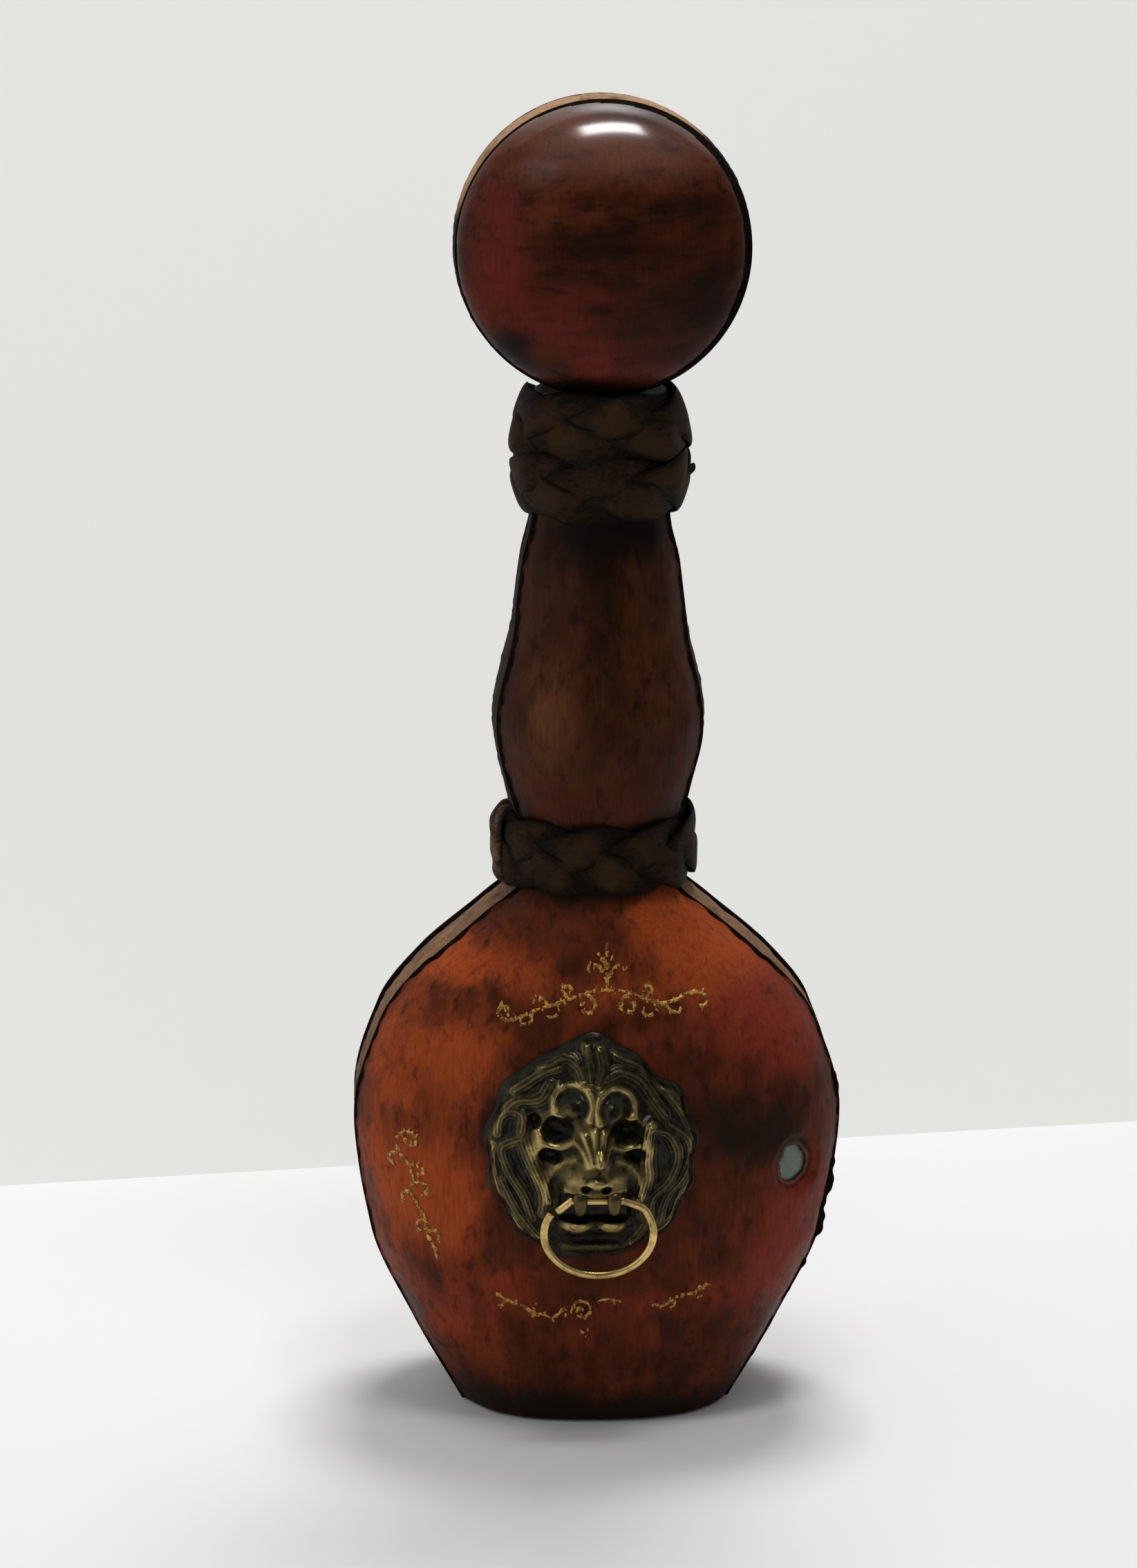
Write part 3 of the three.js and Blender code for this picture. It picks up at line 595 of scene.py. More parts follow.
def pale_glass():
    look = Look("green_glass")
    plain = look.place()
    dust = look.noise(plain, 3.0, 6.0, 0.65)
    colour = look.mix(look.remap(dust, 0.35, 0.7), BOTTLE_GLASS, DUSTY_GLASS)
    rough = look.remap(dust, 0.3, 0.7, 0.18, 0.5)
    return look.finish(Base_Color=colour, Roughness=rough, IOR=1.5, Transmission_Weight=0.15)


def wood(name, pale, dark, rings):
    look = Look(name)
    grain = look.noise(look.place(rings), 2.0, 7.0, 0.6, 0.6)
    pits = look.noise(look.place(), 1.2, 5.0, 0.7)
    colour = look.mix(look.remap(grain, 0.35, 0.7), pale, dark)
    colour = look.mix(look.remap(pits, 0.62, 0.72), colour, [c * 0.4 for c in dark])
    return look.finish(Base_Color=colour, Roughness=0.8, Normal=look.bump(pits, 0.3, 0.5))


def black_leather():
    look = Look("dark_leather")
    plain = look.place()
    scuffs = look.noise(plain, 4.0, 7.0, 0.65)
    colour = look.mix(look.remap(scuffs, 0.4, 0.75), BLACK_HIDE, SCUFFED_HIDE)
    return look.finish(Base_Color=colour, Roughness=0.55, Normal=look.bump(scuffs, 0.3, 0.4),
                       Specular_IOR_Level=0.12)


def matt_black():
    """Black edge dye that takes no shine."""
    look = Look("edge_dye")
    scuffs = look.noise(look.place(), 2.0, 6.0, 0.6)
    colour = look.mix(look.remap(scuffs, 0.4, 0.75), BLACK_DYE, SCUFFED_DYE)
    return look.finish(Base_Color=colour, Roughness=0.9, Normal=look.bump(scuffs, 0.15, 0.4),
                       Specular_IOR_Level=0.0)


BODY_TONES = {
    "base": (0.122, 0.0225, 0.0065),
    "deep": (0.042, 0.010, 0.003),
    "light": (0.35, 0.061, 0.012),
    "warm": (0.21, 0.030, 0.014),
    "dark": (0.013, 0.007, 0.004),
}
NECK_TONES = {
    "base": (0.056, 0.016, 0.005),
    "deep": (0.029, 0.009, 0.003),
    "light": (0.108, 0.037, 0.013),
    "warm": (0.068, 0.014, 0.006),
    "dark": (0.006, 0.003, 0.002),
}
STOPPER_TONES = {
    "base": (0.056, 0.0125, 0.004),
    "deep": (0.022, 0.0055, 0.002),
    "light": (0.15, 0.036, 0.011),
    "warm": (0.12, 0.014, 0.007),
    "dark": (0.005, 0.003, 0.002),
}
UP_AND_DOWN = (1, 1, 0.5)
FROM_SIDE_TO_SIDE = (0.28, 1, 1)

body_leather = dyed_leather("red_leather", BODY_TONES, UP_AND_DOWN, (0.40, 0.58), 0.055)
neck_leather = dyed_leather("neck_leather", NECK_TONES, UP_AND_DOWN, (0.34, 0.5), 0.05)
stopper_leather = dyed_leather("stopper_leather", STOPPER_TONES, FROM_SIDE_TO_SIDE, (0.18, 0.28), 0.07, True)
tan_leather = raw_leather("raw_leather", (0.25, 0.138, 0.072), (0.115, 0.062, 0.033), (0.026, 0.016, 0.010))
rim_leather = raw_leather("rim_leather", (0.40, 0.24, 0.12), (0.22, 0.12, 0.06), (0.05, 0.028, 0.016))
plait_leather = strap_leather("plait_leather", (0.013, 0.008, 0.004), (0.031, 0.016, 0.007),
                              (0.004, 0.003, 0.002))
keeper_leather = strap_leather("keeper_leather", (0.046, 0.031, 0.018), (0.19, 0.125, 0.07),
                               (0.008, 0.006, 0.004))
dark_leather = black_leather()
edge_dye = matt_black()
brass = cast_brass()
ring_brass = bright_brass()
gilt = gilding()
glass = pale_glass()
beech = wood("beech", (0.56, 0.40, 0.24), (0.36, 0.22, 0.11), (1, 1, 0.1))
cork = wood("cork", (0.55, 0.36, 0.20), (0.34, 0.20, 0.10), (1, 1, 1))


# Leather panels and side strips

# Patches of colour on the front of the body, mostly dye, with painted light and shade among them: place
# across and up, half width, half height and amount
BODY_DYE_AND_PAINTED_LIGHT = {
    "light": [
        (-37, 116, 11, 6, 0.85), (-18, 114, 14, 5, 0.45), (21, 122, 12, 9, 0.85), (33, 114, 11, 8, 0.75),
        (14, 129, 9, 5, 0.45), (-52, 93, 7, 10, 0.45), (-40, 97, 10, 8, 0.55), (-33, 91, 8, 9, 0.40),
        (-54, 72, 6, 12, 0.45), (-39, 62, 10, 10, 0.85), (-49, 58, 7, 10, 0.60), (-24, 38, 5, 4, 0.55),
        (2, 110, 12, 5, 0.25), (-50, 42, 7, 9, 0.35), (-26, 100, 9, 6, 0.30), (-47, 85, 8, 7, 0.35),
        # The last light patch here, low on the left, is a painted sheen.
        (-37, 52, 9, 9, 0.45), (-40, 74, 9, 8, 0.35), (-37, 30, 10, 11, 0.42),
    ],
    "warm": [
        (36, 104, 13, 11, 0.80), (47, 95, 9, 10, 0.60), (47, 52, 10, 15, 0.75), (9, 34, 14, 4, 0.45),
        (-22, 37, 6, 4, 0.60), (10, 100, 10, 4, 0.40), (40, 36, 12, 12, 0.60), (-36, 32, 16, 10, 0.50),
    ],
    "dark": [
        (28, 75, 9, 8, 0.62), (40, 73, 10, 8, 0.58), (31, 86, 14, 9, 0.46), (17, 96, 12, 6, 0.42),
        (47, 83, 10, 8, 0.36), (51, 70, 6, 6, 0.35), (23, 109, 5, 3, 0.35), (-28, 112, 5, 4, 0.45),
        (-26, 82, 6, 11, 0.48), (-48, 80, 7, 6, 0.12), (-44, 38, 11, 10, 0.08), (12, 117, 3, 6, 0.35),
        # The first dark patch here, just under the lower collar, is painted shade; the second darkens the
        # body along the foot.
        (-4, 134, 24, 4, 1.10), (0, 3, 56, 7, 1.00), (-30, 9, 12, 7, 0.30), (20, 15, 20, 8, 0.34),
        (-6, 22, 30, 9, 0.25), (30, 30, 14, 10, 0.38), (2, 46, 18, 5, 0.34), (-24, 128, 7, 6, 0.40),
        (-14, 122, 5, 8, 0.30), (36, 52, 12, 8, 0.28),
    ],
}
# Patches of colour on the neck, as on the body, mostly dye.
NECK_DYE_AND_PAINTED_SHADE = {
    "light": [(-13, 176, 8, 14, 0.70), (15, 182, 5, 12, 0.30), (-2, 160, 10, 6, 0.25)],
    "warm": [(15, 163, 9, 10, 0.50), (-14, 158, 9, 8, 0.50), (2, 155, 16, 6, 0.50), (-9, 199, 6, 4, 0.40)],
    # The first two dark bands, where the neck goes under the two collars, are painted shade.
    "dark": [(0, 220, 28, 9, 0.95), (0, 147, 28, 4, 0.85), (1, 198, 6, 16, 0.50), (10, 176, 7, 12, 0.30),
             (-15, 200, 5, 8, 0.35), (18, 152, 5, 7, 0.5), (-19, 153, 5, 6, 0.5)],
}


# Fields from a patch table, which hold dye and the painted light and shade listed there
def dye_and_light_patches(patches, x, z):
    fields = {}
    for field, spots in patches.items():
        fields[field] = sum(amount * np.exp(-((x - px) / w) ** 2 - ((z - pz) / h) ** 2)
                            for px, pz, w, h, amount in spots)
    return fields


# Where a panel's edge steps aside at the shoulders, and how unevenly it was cut
NICK_HEIGHT = 114
NICK_STEP = 1.1
NICK_BEGINS = (95, 110)
NICK_ENDS = (118, 130)
CUT_UNEVENNESS = 0.35
CUT_WAVE = 21
# How far the panels are drawn over the side strips at the shoulders and at the upper neck
SHOULDER_DRAWN = 1.4
SHOULDER_BEGINS = (85, 105)
SHOULDER_ENDS = (120, 135)
NECK_DRAWN = 3.2
NECK_BEGINS = (178, 214)


def edge_distance(z, side):
    """Half width of a side strip at a height, where the panels' edges run; side is -1 on the left."""
    nick = NICK_STEP * (smoothstep(z, NICK_HEIGHT - 1, NICK_HEIGHT + 1) - 0.5) * smoothstep(z, *NICK_BEGINS)
    nick = nick * (1 - smoothstep(z, *NICK_ENDS))
    drawn_over = SHOULDER_DRAWN * smoothstep(z, *SHOULDER_BEGINS) * (1 - smoothstep(z, *SHOULDER_ENDS)) \
        + NECK_DRAWN * smoothstep(z, *NECK_BEGINS)
    return strip_half_width(z) - drawn_over + CUT_UNEVENNESS * ripple(40 + side, CUT_WAVE, z) + nick


# Chip in the front panel that bares the glass: an uneven oval, worn thin, torn and stained at its edge
CHIP_X = 48.6
CHIP_Z = 66
CHIP_HALF_WIDTH = 4.9
CHIP_HALF_HEIGHT = 5.5
CHIP_LOBES = ((0.07, 2, 0.9), (0.06, 3, 2.4), (0.03, 7, 0))
CHIP_WORN_DEPTH = 1.9
CHIP_WORN_REACH = 3.6
CHIP_TORN = 0.5
CHIP_TORN_WIDTH = 0.4
CHIP_STAIN = 0.6
CHIP_STAIN_AWAY = 0.9
CHIP_STAIN_WIDTH = 0.5
FAR_FROM_CHIP = 9 * CHIP_HALF_WIDTH


def chip_reach(angle):
    oval = 1 / np.hypot(np.cos(angle) / CHIP_HALF_WIDTH, np.sin(angle) / CHIP_HALF_HEIGHT)
    return oval * sum((size * np.sin(count * angle + shift) for size, count, shift in CHIP_LOBES), start=1)


# Height and length of the waves in the hand-laid hide
SWELLS = ((0.2, 17), (0.05, 4.5))
FRONT_SEED = 11
BACK_SEED = 31


def swell(x, z, is_front):
    seed = FRONT_SEED if is_front else BACK_SEED
    return sum(height * ripple(seed + i, length, x, z) for i, (height, length) in enumerate(SWELLS))


# Where the right edge of the body is torn, the dye has crept further in
TORN_HEIGHT = 52
TORN_SPREAD = 9
TORN_DYE = 1.8
DYE_UNEVENNESS = 0.5
DYE_WAVE = 9
# Share by which points crowd towards a panel's edges, and how far from these the swell begins
CROWDING = 0.6
SWELL_BEGINS = (1, 6)


def name_of_node(piece_name):
    return piece_name.removesuffix("_hide")


def panel(name, low, high, rows, columns, is_front, material, slot, patches, dye_width, chipped=False):
    """Hide over the front or back of the form; the chipped panel has the chip and the torn edge."""
    z = np.linspace(low, high, rows)[:, None]
    s = np.linspace(0, 1, columns)[None, :]
    spread = (1 - CROWDING) * s + CROWDING / 2 * (1 - np.cos(math.pi * s))
    start = angle_at(z, edge_distance(z, -1 if is_front else 1))
    end = math.pi - angle_at(z, edge_distance(z, 1 if is_front else -1))
    angle = start + (end - start) * spread + (math.pi if is_front else 0)
    base = on_form(*np.broadcast_arrays(z, angle))
    steps = np.linalg.norm(np.diff(base, axis=1), axis=-1)
    along = np.concatenate([np.zeros((rows, 1)), np.cumsum(steps, axis=1)], axis=1)
    from_edge = np.minimum(along, along[:, -1:] - along)

    bead = BEAD_HEIGHT * hill(from_edge - BEAD_FROM_EDGE, BEAD_WIDTH)
    x, height = base[..., 0], base[..., 2]
    uneven = swell(x, height, is_front) * smoothstep(from_edge, *SWELL_BEGINS)
    lift = bead - corner_drop(from_edge, CORNER_RADIUS) + uneven
    fields = dye_and_light_patches(patches, x if is_front else -x, height)
    dyed = dye_width + DYE_UNEVENNESS * ripple(13, DYE_WAVE, height)
    if chipped:
        dyed = dyed + TORN_DYE * hill(height - TORN_HEIGHT, TORN_SPREAD) * (x > 0)
    fields["edge"] = 1 - smoothstep(from_edge, dyed - DYE_FADES_OVER / 2, dyed + DYE_FADES_OVER / 2)
    fields["torn"] = np.zeros_like(x)
    hole = None
    if chipped:
        row = np.argmin(np.abs(z[:, 0] - CHIP_Z))
        right = x[row] > 0
        arc = along - np.interp(CHIP_X, x[row][right], along[row][right])
        away = np.where(x > 0, np.hypot(arc, height - CHIP_Z), FAR_FROM_CHIP)
        past = away - chip_reach(np.arctan2(height - CHIP_Z, arc))
        fields["torn"] = CHIP_TORN * hill(past, CHIP_TORN_WIDTH)
        fields["dark"] = fields["dark"] + CHIP_STAIN * hill(past - CHIP_STAIN_AWAY, CHIP_STAIN_WIDTH)
        lift = lift - CHIP_WORN_DEPTH * (1 - smoothstep(past, 0, CHIP_WORN_REACH))
        inside = past < 0
        hole = inside[:-1, :-1] & inside[1:, :-1] & inside[:-1, 1:] & inside[1:, 1:]
    points = np.concatenate([layer(z, angle, lift), layer(z, angle, -PANEL_THICKNESS)])
    return add_piece(name, points, sheet_faces(rows, columns, hole), material, "bottle", slot,
                     (name_of_node(name),), on_both_grids(fields), edge_dye)


STRIP_COLUMNS = 26
STRIP_UNEVENNESS = 0.18
STRIP_WAVE = 6
# Black along a strip's edges, and how far it fades, which is further below the belly
STRIP_DYE = 0.8
STRIP_DYE_FADES = (0.4, 1.6)
LOW_DYE_FADES = (4, 10)
LOW_DYE_ENDS = (76, 100)
# Stains on the strips towards the neck and the foot
NECK_STAIN = 0.75
NECK_STAIN_BEGINS = (134, 150)
FOOT_STAIN = 0.25
FOOT_STAIN_ENDS = (60, 100)


def side_strip(name, low, high, rows, side):
    z = np.linspace(low, high, rows)[:, None]
    s = np.linspace(-1, 1, STRIP_COLUMNS)[None, :]
    reach = angle_at(z, edge_distance(z, side) - GAP)
    angle = reach * s + (0 if side > 0 else math.pi)
    from_edge = (1 - np.abs(s)) * strip_half_width(z)
    base = on_form(*np.broadcast_arrays(z, angle))
    height = base[..., 2]
    lift = -STRIP_SINK + STRIP_UNEVENNESS * ripple(61 + side, STRIP_WAVE, base[..., 1], height)
    points = np.concatenate([layer(z, angle, lift), layer(z, angle, -PANEL_THICKNESS)])
    edge = (1 - smoothstep(from_edge, *STRIP_DYE_FADES)) * STRIP_DYE
    below_belly = 1 - smoothstep(height, *LOW_DYE_ENDS)
    edge = np.maximum(edge, below_belly * (1 - smoothstep(from_edge, *LOW_DYE_FADES)) * STRIP_DYE)
    dark = NECK_STAIN * smoothstep(height, *NECK_STAIN_BEGINS) \
        + FOOT_STAIN * (1 - smoothstep(height, *FOOT_STAIN_ENDS))
    return add_piece(name, points, sheet_faces(rows, STRIP_COLUMNS), tan_leather, "bottle", "raw_leather",
                     (name_of_node(name),), on_both_grids({"edge": edge, "dark": dark}))


seam_low = WAIST_HEIGHT - GAP / 2
seam_high = WAIST_HEIGHT + GAP / 2
body_finish = (body_leather, "red_leather", BODY_DYE_AND_PAINTED_LIGHT, BODY_DYE_WIDTH)
neck_finish = (neck_leather, "neck_leather", NECK_DYE_AND_PAINTED_SHADE, NECK_DYE_WIDTH)
panel("body_front_panel_hide", PANEL_LIFT, seam_low, 280, 280, True, *body_finish, chipped=True)
panel("body_back_panel_hide", PANEL_LIFT, seam_low, 170, 160, False, *body_finish)
panel("neck_front_panel_hide", seam_high, MOUTH_HEIGHT, 150, 110, True, *neck_finish)
panel("neck_back_panel_hide", seam_high, MOUTH_HEIGHT, 120, 90, False, *neck_finish)
for side, word in ((-1, "left"), (1, "right")):
    side_strip(f"body_{word}_strip_hide", PANEL_LIFT, seam_low, 150, side)
    side_strip(f"neck_{word}_strip_hide", seam_high, MOUTH_HEIGHT, 110, side)


# Worn gilt scrollwork on the front: paths across and up

GILT_TOP = [
    [(-4.6, 111.2), (-8, 109.9), (-12, 108.6), (-16, 107.4), (-20, 105.6), (-23, 104.8), (-25, 105.8),
     (-24.6, 107.4), (-22.8, 107.6), (-22.6, 106.4)],
    [(-8, 109.9), (-9.6, 111.8), (-8.4, 112.9), (-7.3, 112), (-8.1, 111.3)],
    [(-13, 108.3), (-14.4, 110), (-16.2, 110.2), (-16.8, 109)],
    [(-11, 108.9), (-10.6, 107.1), (-12, 105.9), (-13.6, 106.2)],
    [(-17.4, 106.9), (-17, 105.2), (-18.2, 104.2), (-19.8, 104.4)],
    [(-4.6, 111.2), (-2.6, 110.2), (-1.8, 108.4), (-3, 107), (-4.8, 107.3), (-5.2, 108.8), (-4, 109.2)],
    [(1.1, 112), (1.2, 116), (1.2, 120), (1.1, 122.4)],
    [(1, 114), (-0.6, 117), (-2.8, 117.6), (-3.6, 116.2)],
    [(1, 116.6), (0, 119.2), (-1.4, 120)],
    [(1.3, 114), (3, 117), (4.8, 117.2), (5.8, 115.8)],
    [(1.3, 116.6), (2.4, 119), (3.6, 119.6)],
    [(-4.6, 111.2), (-1.6, 111.8), (1.2, 111.9), (4, 111.8), (7, 111.2)],
    [(7, 111.2), (10.4, 109.9), (14.4, 108.8), (18.4, 109.6), (21.4, 110.8), (24, 110.4), (25.4, 108.9),
     (24.4, 107.6), (23, 108.2)],
    [(10.4, 109.9), (12, 111.8), (10.9, 112.9), (9.8, 112), (10.6, 111.3)],
    [(15, 108.9), (16.4, 107.2), (18.2, 106.6), (19.2, 107.6)],
    [(13.4, 109), (13, 107.2), (11.4, 106.2), (9.8, 106.7), (9.8, 108)],
    [(7, 111.2), (5, 110.2), (4.2, 108.4), (5.4, 107), (7.2, 107.3), (7.6, 108.8), (6.4, 109.2)],
]
GILT_LEFT = [
    [(-47.6, 76), (-49.6, 73.6), (-49, 70.4), (-46.6, 67.6), (-45.6, 64.4), (-46.2, 61), (-44.6, 57.6),
     (-42.6, 54), (-42.4, 50.6), (-40.6, 47), (-39.6, 43.6)],
    [(-47.6, 76), (-45.4, 75.6), (-44.9, 73.6), (-46.4, 72.6), (-47.7, 73.6), (-46.9, 74.4)],
    [(-49, 70.4), (-51, 69.4), (-51.4, 67.6), (-50, 66.8), (-49.2, 67.8)],
    [(-46.6, 67.6), (-44.2, 68.2), (-43, 66.6), (-44, 65.4), (-45, 66)],
    [(-46.2, 61), (-48, 59.8), (-48, 58), (-46.8, 57.6)],
    [(-45.6, 63.2), (-43.2, 63.2), (-42, 61.6), (-42.8, 60.4), (-43.9, 60.9)],
    [(-42.6, 54), (-44.6, 52.6), (-44.4, 51), (-43.4, 50.9)],
    [(-42.4, 50.6), (-40.4, 51.4), (-39.2, 50.2), (-39.8, 49)],
]
GILT_BOTTOM = [
    [(-25.4, 36.6), (-23.6, 35.2), (-23.8, 33.4), (-25.2, 33.2)],
    [(-23.6, 35.2), (-21, 34), (-18.6, 33.4), (-16.6, 31.4), (-14.6, 30.8)],
    [(-16.8, 31), (-16.2, 33.4), (-15.6, 34.6)],
    [(-16.8, 31), (-14.4, 31.4), (-12, 30.2)],
    [(-12, 30.2), (-10.4, 31.4), (-9, 33), (-8.4, 31)],
    [(-7.4, 32), (-6, 34.8), (-3.4, 34.6), (-2.6, 32.2), (-4.2, 30.6), (-6, 31.6), (-5.2, 33.2),
     (-4.2, 32.6)],
    [(-5.2, 27.2), (-4, 26), (-2.8, 27)],
    [(-1, 35), (2, 35.6), (5, 35)],
    [(12.6, 34), (15, 33.4), (17.4, 35), (20, 36), (22.4, 36.2), (24.6, 37.6), (26.4, 38.6)],
    [(17.4, 35), (18, 33.4), (16.8, 32.6)],
    [(22.4, 36.2), (23.4, 35), (25, 35.4)],
]
GILT_WIDTH = 0.95
GILT_LEAST_WIDTH = 0.3
GILT_EVEN_SHARE = 0.8
GILT_UNEVEN_SHARE = 0.35
GILT_WIDTH_WAVE = 2.0
GILT_END_SHARE = 0.4
GILT_END_REACH = 0.9
GILT_LIFT = 0.16
GILT_WEAR = 0.36
GILT_WEAR_WAVE = 3.0
GILT_STEP = 0.24
GILT_LEAST_STEPS = 3
ACROSS_GILT = np.array([-0.5, 0, 0.5])
SEED_LIMIT = 9999
# Leaflets: the ranges of their size and lean, and their middle and tip as shares ahead, upright and aside
LEAF_SPACING = 0.95
LEAF_LENGTH = 1.15
LEAF_SIZES = (0.5, 1.2)
LEAF_LEANS = (0.2, 0.8)
LEAF_SKEW = 0.15
LEAF_MIDDLE = (0.5, 0.6, 0.3)
LEAF_MIDDLE_AT = 0.6
LEAF_TIP = (0.4, 0.8, 0.2)
LEAVES_LOST = 0.25


def along_path(path, step):
    """Evenly spaced points on a smooth path, with the directions ahead and to its left at each."""
    line = smooth_path(path, 12)
    steps = lengths_along(line)
    places = np.arange(0, steps[-1], step)
    line = np.stack([np.interp(places, steps, line[:, k]) for k in (0, 1)], -1)
    return places, line, unit(np.gradient(line, axis=0)), -right_of(line)


def leaflets(path, rng):
    """Short curved strokes that spring from both sides of a scroll."""
    strokes = []
    _, line, tangent, left = along_path(path, LEAF_SPACING)
    for i, (root, ahead, side) in enumerate(zip(line, tangent, left)):
        length = LEAF_LENGTH * rng.uniform(*LEAF_SIZES)
        turned = side * (1 if i % 2 else -1)
        lean = rng.uniform(*LEAF_LEANS)
        upright = np.array([LEAF_SKEW, 1.0 if turned[1] > 0 else -1.0])
        ways = np.array([ahead * lean, upright, turned])
        middle = root + np.dot(LEAF_MIDDLE, ways) * length * LEAF_MIDDLE_AT
        tip = root + np.dot(LEAF_TIP, ways) * length
        if rng.uniform() > LEAVES_LOST:
            strokes.append([root, middle, tip])
    return strokes


def gilt_scrolls(name, paths, seed):
    """Thin gilt lines and leaflets that follow the hide, thick and thin, with worn gaps."""
    rng = np.random.default_rng(seed)
    sheets = []
    for stroke in paths + [leaf for path in paths for leaf in leaflets(path, rng)]:
        places, line, _, side = along_path(stroke, GILT_STEP)
        wear = ripple(int(rng.integers(1, SEED_LIMIT)), GILT_WEAR_WAVE, places)
        uneven = ripple(int(rng.integers(1, SEED_LIMIT)), GILT_WIDTH_WAVE, places)
        width = GILT_WIDTH * (GILT_EVEN_SHARE + GILT_UNEVEN_SHARE * uneven)
        ends = smoothstep(np.minimum(places, places[-1] - places), 0, GILT_END_REACH)
        width = np.clip(width, GILT_LEAST_WIDTH, None) * (GILT_END_SHARE + (1 - GILT_END_SHARE) * ends)
        kept = np.flatnonzero(wear > -1 + GILT_WEAR)
        for run in np.split(kept, np.flatnonzero(np.diff(kept) > 1) + 1):
            if len(run) < GILT_LEAST_STEPS:
                continue
            across = side[run][:, None, :] * (width[run][:, None] * ACROSS_GILT)[..., None]
            flat = line[run][:, None, :] + across
            x, z = flat[..., 0], flat[..., 1]
            under = swell(x, z, True)
            sheets.append((on_front(x, z, under + GILT_LIFT), on_front(x, z, under - GILT_LIFT)))
    return add_piece(name, *joined_sheets(sheets), gilt, "bottle", "red_leather")


gilt_scrolls("gilt_top", GILT_TOP, 5)
gilt_scrolls("gilt_left", GILT_LEFT, 6)
gilt_scrolls("gilt_bottom", GILT_BOTTOM, 7)

# Torn flaps along the front panel's right edge: top and bottom, and how far the torn edge stands out
TORN_FLAPS = [(85, 79, 0.7), (63, 41, 1.25), (37, 26, 1.0), (22, 9, 0.6)]
FLAP_WIDTH = 3.2
FLAP_THICKNESS = 0.8
FLAP_STEP = 0.3
FLAP_END = 2.0
FLAP_OVERLAP = 0.6
FLAP_LIFT = 0.3
FLAP_CURL = 1.4
ACROSS_FLAP = np.array([[0, 0.2, 0.4, 0.6, 0.8, 1.0]])
# How ragged the torn edge is: its middle, the height and length of its waves, and its limits
RAGGED_MIDDLE = 0.6
RAGGED_WAVES = ((0.5, 13.0), (0.16, 4.5))
RAGGED_LIMITS = (0.05, 1.3)


def torn_flaps():
    """Black ragged bits of hide, tight at their root and standing out along the torn edge."""
    sheets = []
    for top, bottom, stand_out in TORN_FLAPS:
        z = np.arange(bottom, top, FLAP_STEP)[:, None]
        ends = np.minimum(z - bottom, top - z)
        waves = (size * ripple(top + i, length, z) for i, (size, length) in enumerate(RAGGED_WAVES))
        ragged = np.clip(sum(waves, start=RAGGED_MIDDLE), *RAGGED_LIMITS)
        reach = stand_out * smoothstep(ends, 0, FLAP_END) * ragged
        angle = -angle_at(z, edge_distance(z, 1) - FLAP_OVERLAP + FLAP_WIDTH * ACROSS_FLAP)
        lift = reach * (1 - ACROSS_FLAP) ** FLAP_CURL + FLAP_LIFT
        sheets.append((layer(z, angle, lift), layer(z, angle, lift - FLAP_THICKNESS)))
    return add_piece("torn_edge_flaps", *joined_sheets(sheets), edge_dye, "bottle", "dark_leather")


torn_flaps()


# Base pad and glass

RING_SEGMENTS = 128
PAD_BEVEL = 0.6
# Rounding of the glass lip, in from the skin or out from the bore, and down from the mouth
LIP_START = 1.5
LIP_OUTSIDE = ((0.5, 0.3), (1.2, 0))
LIP_INSIDE = ((0.9, 0), (0.25, 0.3), (0, 1))
GLASS_OUTER_RINGS = 110
GLASS_INNER_RINGS = 60


def level_ring(z, inset, height):
    """Ring inside the leather's form at one height, laid level at another."""
    ring = layer(float(z), full_turn(RING_SEGMENTS), -float(inset))
    ring[:, 2] = height
    return ring


def bore_ring(radius, height):
    turn = full_turn(RING_SEGMENTS)
    return np.stack([radius * np.cos(turn), radius * np.sin(turn), np.full(RING_SEGMENTS, height)], -1)


def stacked_piece(name, rings, material, slot, node):
    faces = capped_tube(len(rings), RING_SEGMENTS)
    return add_piece(name, np.concatenate(rings), faces, material, "bottle", slot, (node,))


def glass_rings():
    """Rings up the outside of the bottle, over its lip and down the inside."""
    skin = PANEL_THICKNESS + GAP
    floor = PAD_THICKNESS + GAP
    bore_bottom = MOUTH_HEIGHT - BORE_DEPTH
    outer_heights = np.linspace(floor + GLASS_HEEL, MOUTH_HEIGHT - LIP_START, GLASS_OUTER_RINGS)
    inner_heights = np.linspace(bore_bottom - GLASS_WALL, floor + GLASS_FLOOR + GLASS_HEEL, GLASS_INNER_RINGS)
    rings = [level_ring(PANEL_LIFT, skin + GLASS_HEEL, floor)]
    rings += [level_ring(z, skin, z) for z in outer_heights]
    rings += [level_ring(MOUTH_HEIGHT, skin + inset, MOUTH_HEIGHT - drop) for inset, drop in LIP_OUTSIDE]
    rings += [bore_ring(BORE_RADIUS + wider, MOUTH_HEIGHT - drop) for wider, drop in LIP_INSIDE]
    rings.append(bore_ring(BORE_RADIUS, bore_bottom))
    rings += [level_ring(z, skin + GLASS_WALL, z) for z in inner_heights]
    rings.append(level_ring(inner_heights[-1], skin + GLASS_WALL + GLASS_HEEL, floor + GLASS_FLOOR))
    return rings


pad_inset = PANEL_THICKNESS + 2 * GAP
pad_rings = [level_ring(PANEL_LIFT, pad_inset + inset, height)
             for inset, height in ((PAD_BEVEL, 0), (0, PAD_BEVEL), (0, PAD_THICKNESS))]
stacked_piece("base_pad_hide", pad_rings, dark_leather, "dark_leather", "base_pad")
stacked_piece("glass_bottle_blown", glass_rings(), glass, "green_glass", "glass_bottle")


# Plaited collars

STRANDS = 3
STRIP_SLANT = 0.45
LOWER_PLAIT = {"width": 6.8, "thick": 0.9, "edge": 0.4, "swing": 5.1, "lift": 1.455, "lift_ripple": -0.272,
               "tilt": 13.16, "tilt_ripple": 11.19, "waves": 3}
UPPER_PLAIT = {"width": 6.4, "thick": 0.9, "edge": 0.4, "swing": 4.8, "lift": 1.385, "lift_ripple": -0.257,
               "tilt": 13.26, "tilt_ripple": 12.15, "waves": 2}
